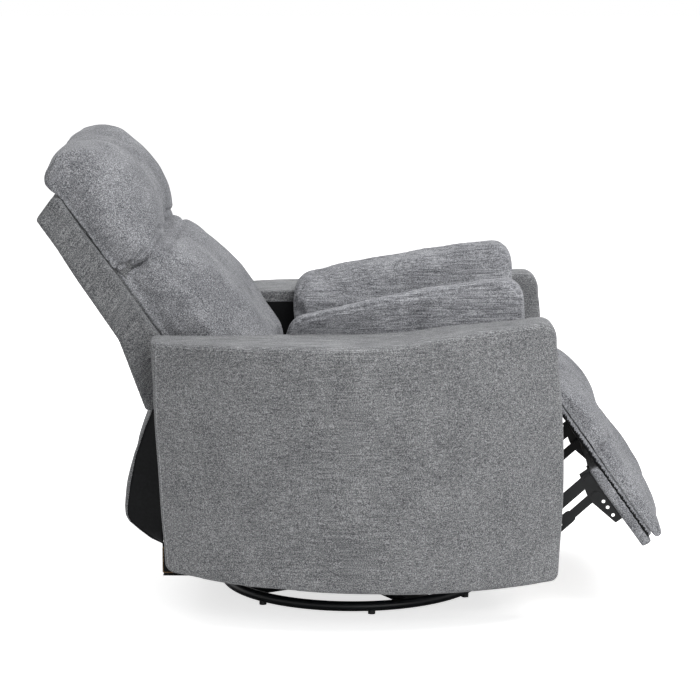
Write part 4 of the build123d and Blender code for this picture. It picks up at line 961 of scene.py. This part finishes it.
def dust_cover():
    """Black cloth stapled under the seat box, slack between its staples."""
    low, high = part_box("dust_cover")
    piece = copy_of("dust_cover", "dust_cover_cloth")
    cut_pitch, inset, staple_lift = 0.02, 0.012, 0.0004
    cut = bmesh.new()
    cut.from_mesh(piece.data)
    for axis, way in ((0, (1, 0, 0)), (1, (0, 1, 0))):
        for value in np.arange(low[axis] + cut_pitch, high[axis], cut_pitch):
            at = [0, 0, 0]
            at[axis] = value
            bmesh.ops.bisect_plane(cut, geom=cut.verts[:] + cut.edges[:] + cut.faces[:],
                                   plane_co=at, plane_no=way)
    cut.to_mesh(piece.data)
    cut.free()
    co = points_of(piece)
    edge = np.minimum(np.minimum(co[:, 0] - low.x, high.x - co[:, 0]),
                      np.minimum(co[:, 1] - low.y, high.y - co[:, 1]))
    waves = np.array([noise.noise(Vector(point) * 9) for point in co])
    co[:, 2] -= ramp(edge, 0.02, 0.09) * (0.002 + 0.002 * waves)
    put_points(piece, co)
    join_up(piece, "lining", "chair", ["dust_cover"])
    # Its area is less than the rectangle's, because its corners are cut away.
    xs, ys = (low.x + inset, high.x - inset), (low.y + inset, high.y - inset)
    corners = [(xs[i], ys[j], low.z - staple_lift)
               for i, j in ((0, 0), (1, 0), (1, 1), (0, 1), (0, 0))]
    stitch_row("dust_cover_staples", [fine_path(corners)], "zinc", "chair",
               pitch=40, length=10, radius=0.5)


def rear_rail_wrap():
    """Dust-cover cloth turned up over the box's rear rail."""
    low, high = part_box("bottom_rails")
    rail_front, rail_top, cover = -0.384, 0.150, 0.0012
    work = bmesh.new()
    bmesh.ops.create_cube(work, size=1.0)
    for point in work.verts:
        point.co.x = rail_front if point.co.x > 0 else low.x - cover
        point.co.y = (high.y + cover / 2) * np.sign(point.co.y)
        point.co.z = rail_top + cover if point.co.z > 0 else low.z - 0.001
    bmesh.ops.bevel(work, geom=work.edges[:], offset=0.002, segments=3, affect="EDGES")
    mesh = bpy.data.meshes.new("rear_rail_wrap")
    work.to_mesh(mesh)
    work.free()
    mesh.shade_smooth()
    return join_up(new_piece("rear_rail_wrap", mesh), "lining", "chair")


def seat_straps():
    """Woven elastic straps under the seat cushion, as they are in the frame."""
    piece = copy_of("seat_webbing", "seat_strap_webbing")
    return join_up(piece, "webbing", "chair", ["seat_webbing"])


# ------------------------------------------------------------------ studio, camera
def studio():
    """Pale floor, white behind, and three soft lamps; the camera sees the world as white."""
    world = bpy.data.worlds.new("studio_air")
    bpy.context.scene.world = world
    world.use_nodes = True
    tree = world.node_tree
    tree.nodes.clear()
    ray = add(tree, "ShaderNodeLightPath")
    seen = add(tree, "ShaderNodeMath", {0: ray.outputs["Is Camera Ray"],
                                        1: ray.outputs["Is Glossy Ray"]}, operation="MAXIMUM")
    seen = add(tree, "ShaderNodeMath", {0: seen.outputs[0], 1: ray.outputs["Is Transmission Ray"]},
               operation="MAXIMUM")
    light = add(tree, "ShaderNodeBackground", {"Color": (1, 1, 1, 1), "Strength": 0.47})
    shown = add(tree, "ShaderNodeBackground", {"Color": (1, 1, 1, 1), "Strength": 1.0})
    both = add(tree, "ShaderNodeMixShader", {0: seen.outputs[0], 1: light.outputs[0],
                                             2: shown.outputs[0]})
    add(tree, "ShaderNodeOutputWorld", {"Surface": both.outputs[0]})

    material, tree = new_material("studio_floor")
    ray = add(tree, "ShaderNodeLightPath")
    matt = add(tree, "ShaderNodeBsdfDiffuse", {"Color": linear("#f2f2f2")})
    glow = add(tree, "ShaderNodeEmission", {"Color": (1, 1, 1, 1), "Strength": 0.7})
    sum_up = add(tree, "ShaderNodeAddShader", {0: matt.outputs[0], 1: glow.outputs[0]})
    seen = add(tree, "ShaderNodeMixShader", {0: ray.outputs["Is Camera Ray"], 1: matt.outputs[0],
                                             2: sum_up.outputs[0]})
    add(tree, "ShaderNodeOutputMaterial", {"Surface": seen.outputs[0]})
    bpy.ops.mesh.primitive_plane_add(size=40)
    floor = bpy.context.object
    floor.name = "studio_floor_plane"
    floor.data.materials.append(material)

    middle = Vector((0, 0, 0.5))
    for name, place, size, power in (
            ("key", (2.0, -1.4, 4.6), 3.0, 150), ("fill", (2.2, -4.6, 2.0), 3.5, 84),
            ("rear", (-2.0, 3.6, 3.2), 3.0, 60)):
        lamp = bpy.data.lights.new(name, "AREA")
        lamp.size, lamp.energy = size, power
        obj = bpy.data.objects.new(name, lamp)
        bpy.context.scene.collection.objects.link(obj)
        obj.location = place
        obj.rotation_euler = (middle - Vector(place)).to_track_quat("-Z", "Y").to_euler()


def camera():
    """The photograph's view: square on to the right side, looking a little down."""
    lens = bpy.data.cameras.new("camera")
    lens.sensor_width, lens.lens = 36.0, 146.57
    lens.clip_end = 60.0
    obj = bpy.data.objects.new("camera", lens)
    bpy.context.scene.collection.objects.link(obj)
    obj.location = (0.03489, -6.290, 1.67425)
    obj.rotation_euler = Euler((radians(79.7), 0, radians(0.38)))
    bpy.context.scene.camera = obj


bpy.context.scene.view_settings.view_transform = "Standard"
studio()
camera()
dress_frame()
head_pillow()
lumbar_cushion()
back_crease()
back_panel()
seat_cushion()
footrest_pad()
footrest_covers()
for side in ("left", "right"):
    arm_pillow(side)
    arm_shell(side)
rear_flap()
dust_cover()
rear_rail_wrap()
seat_straps()
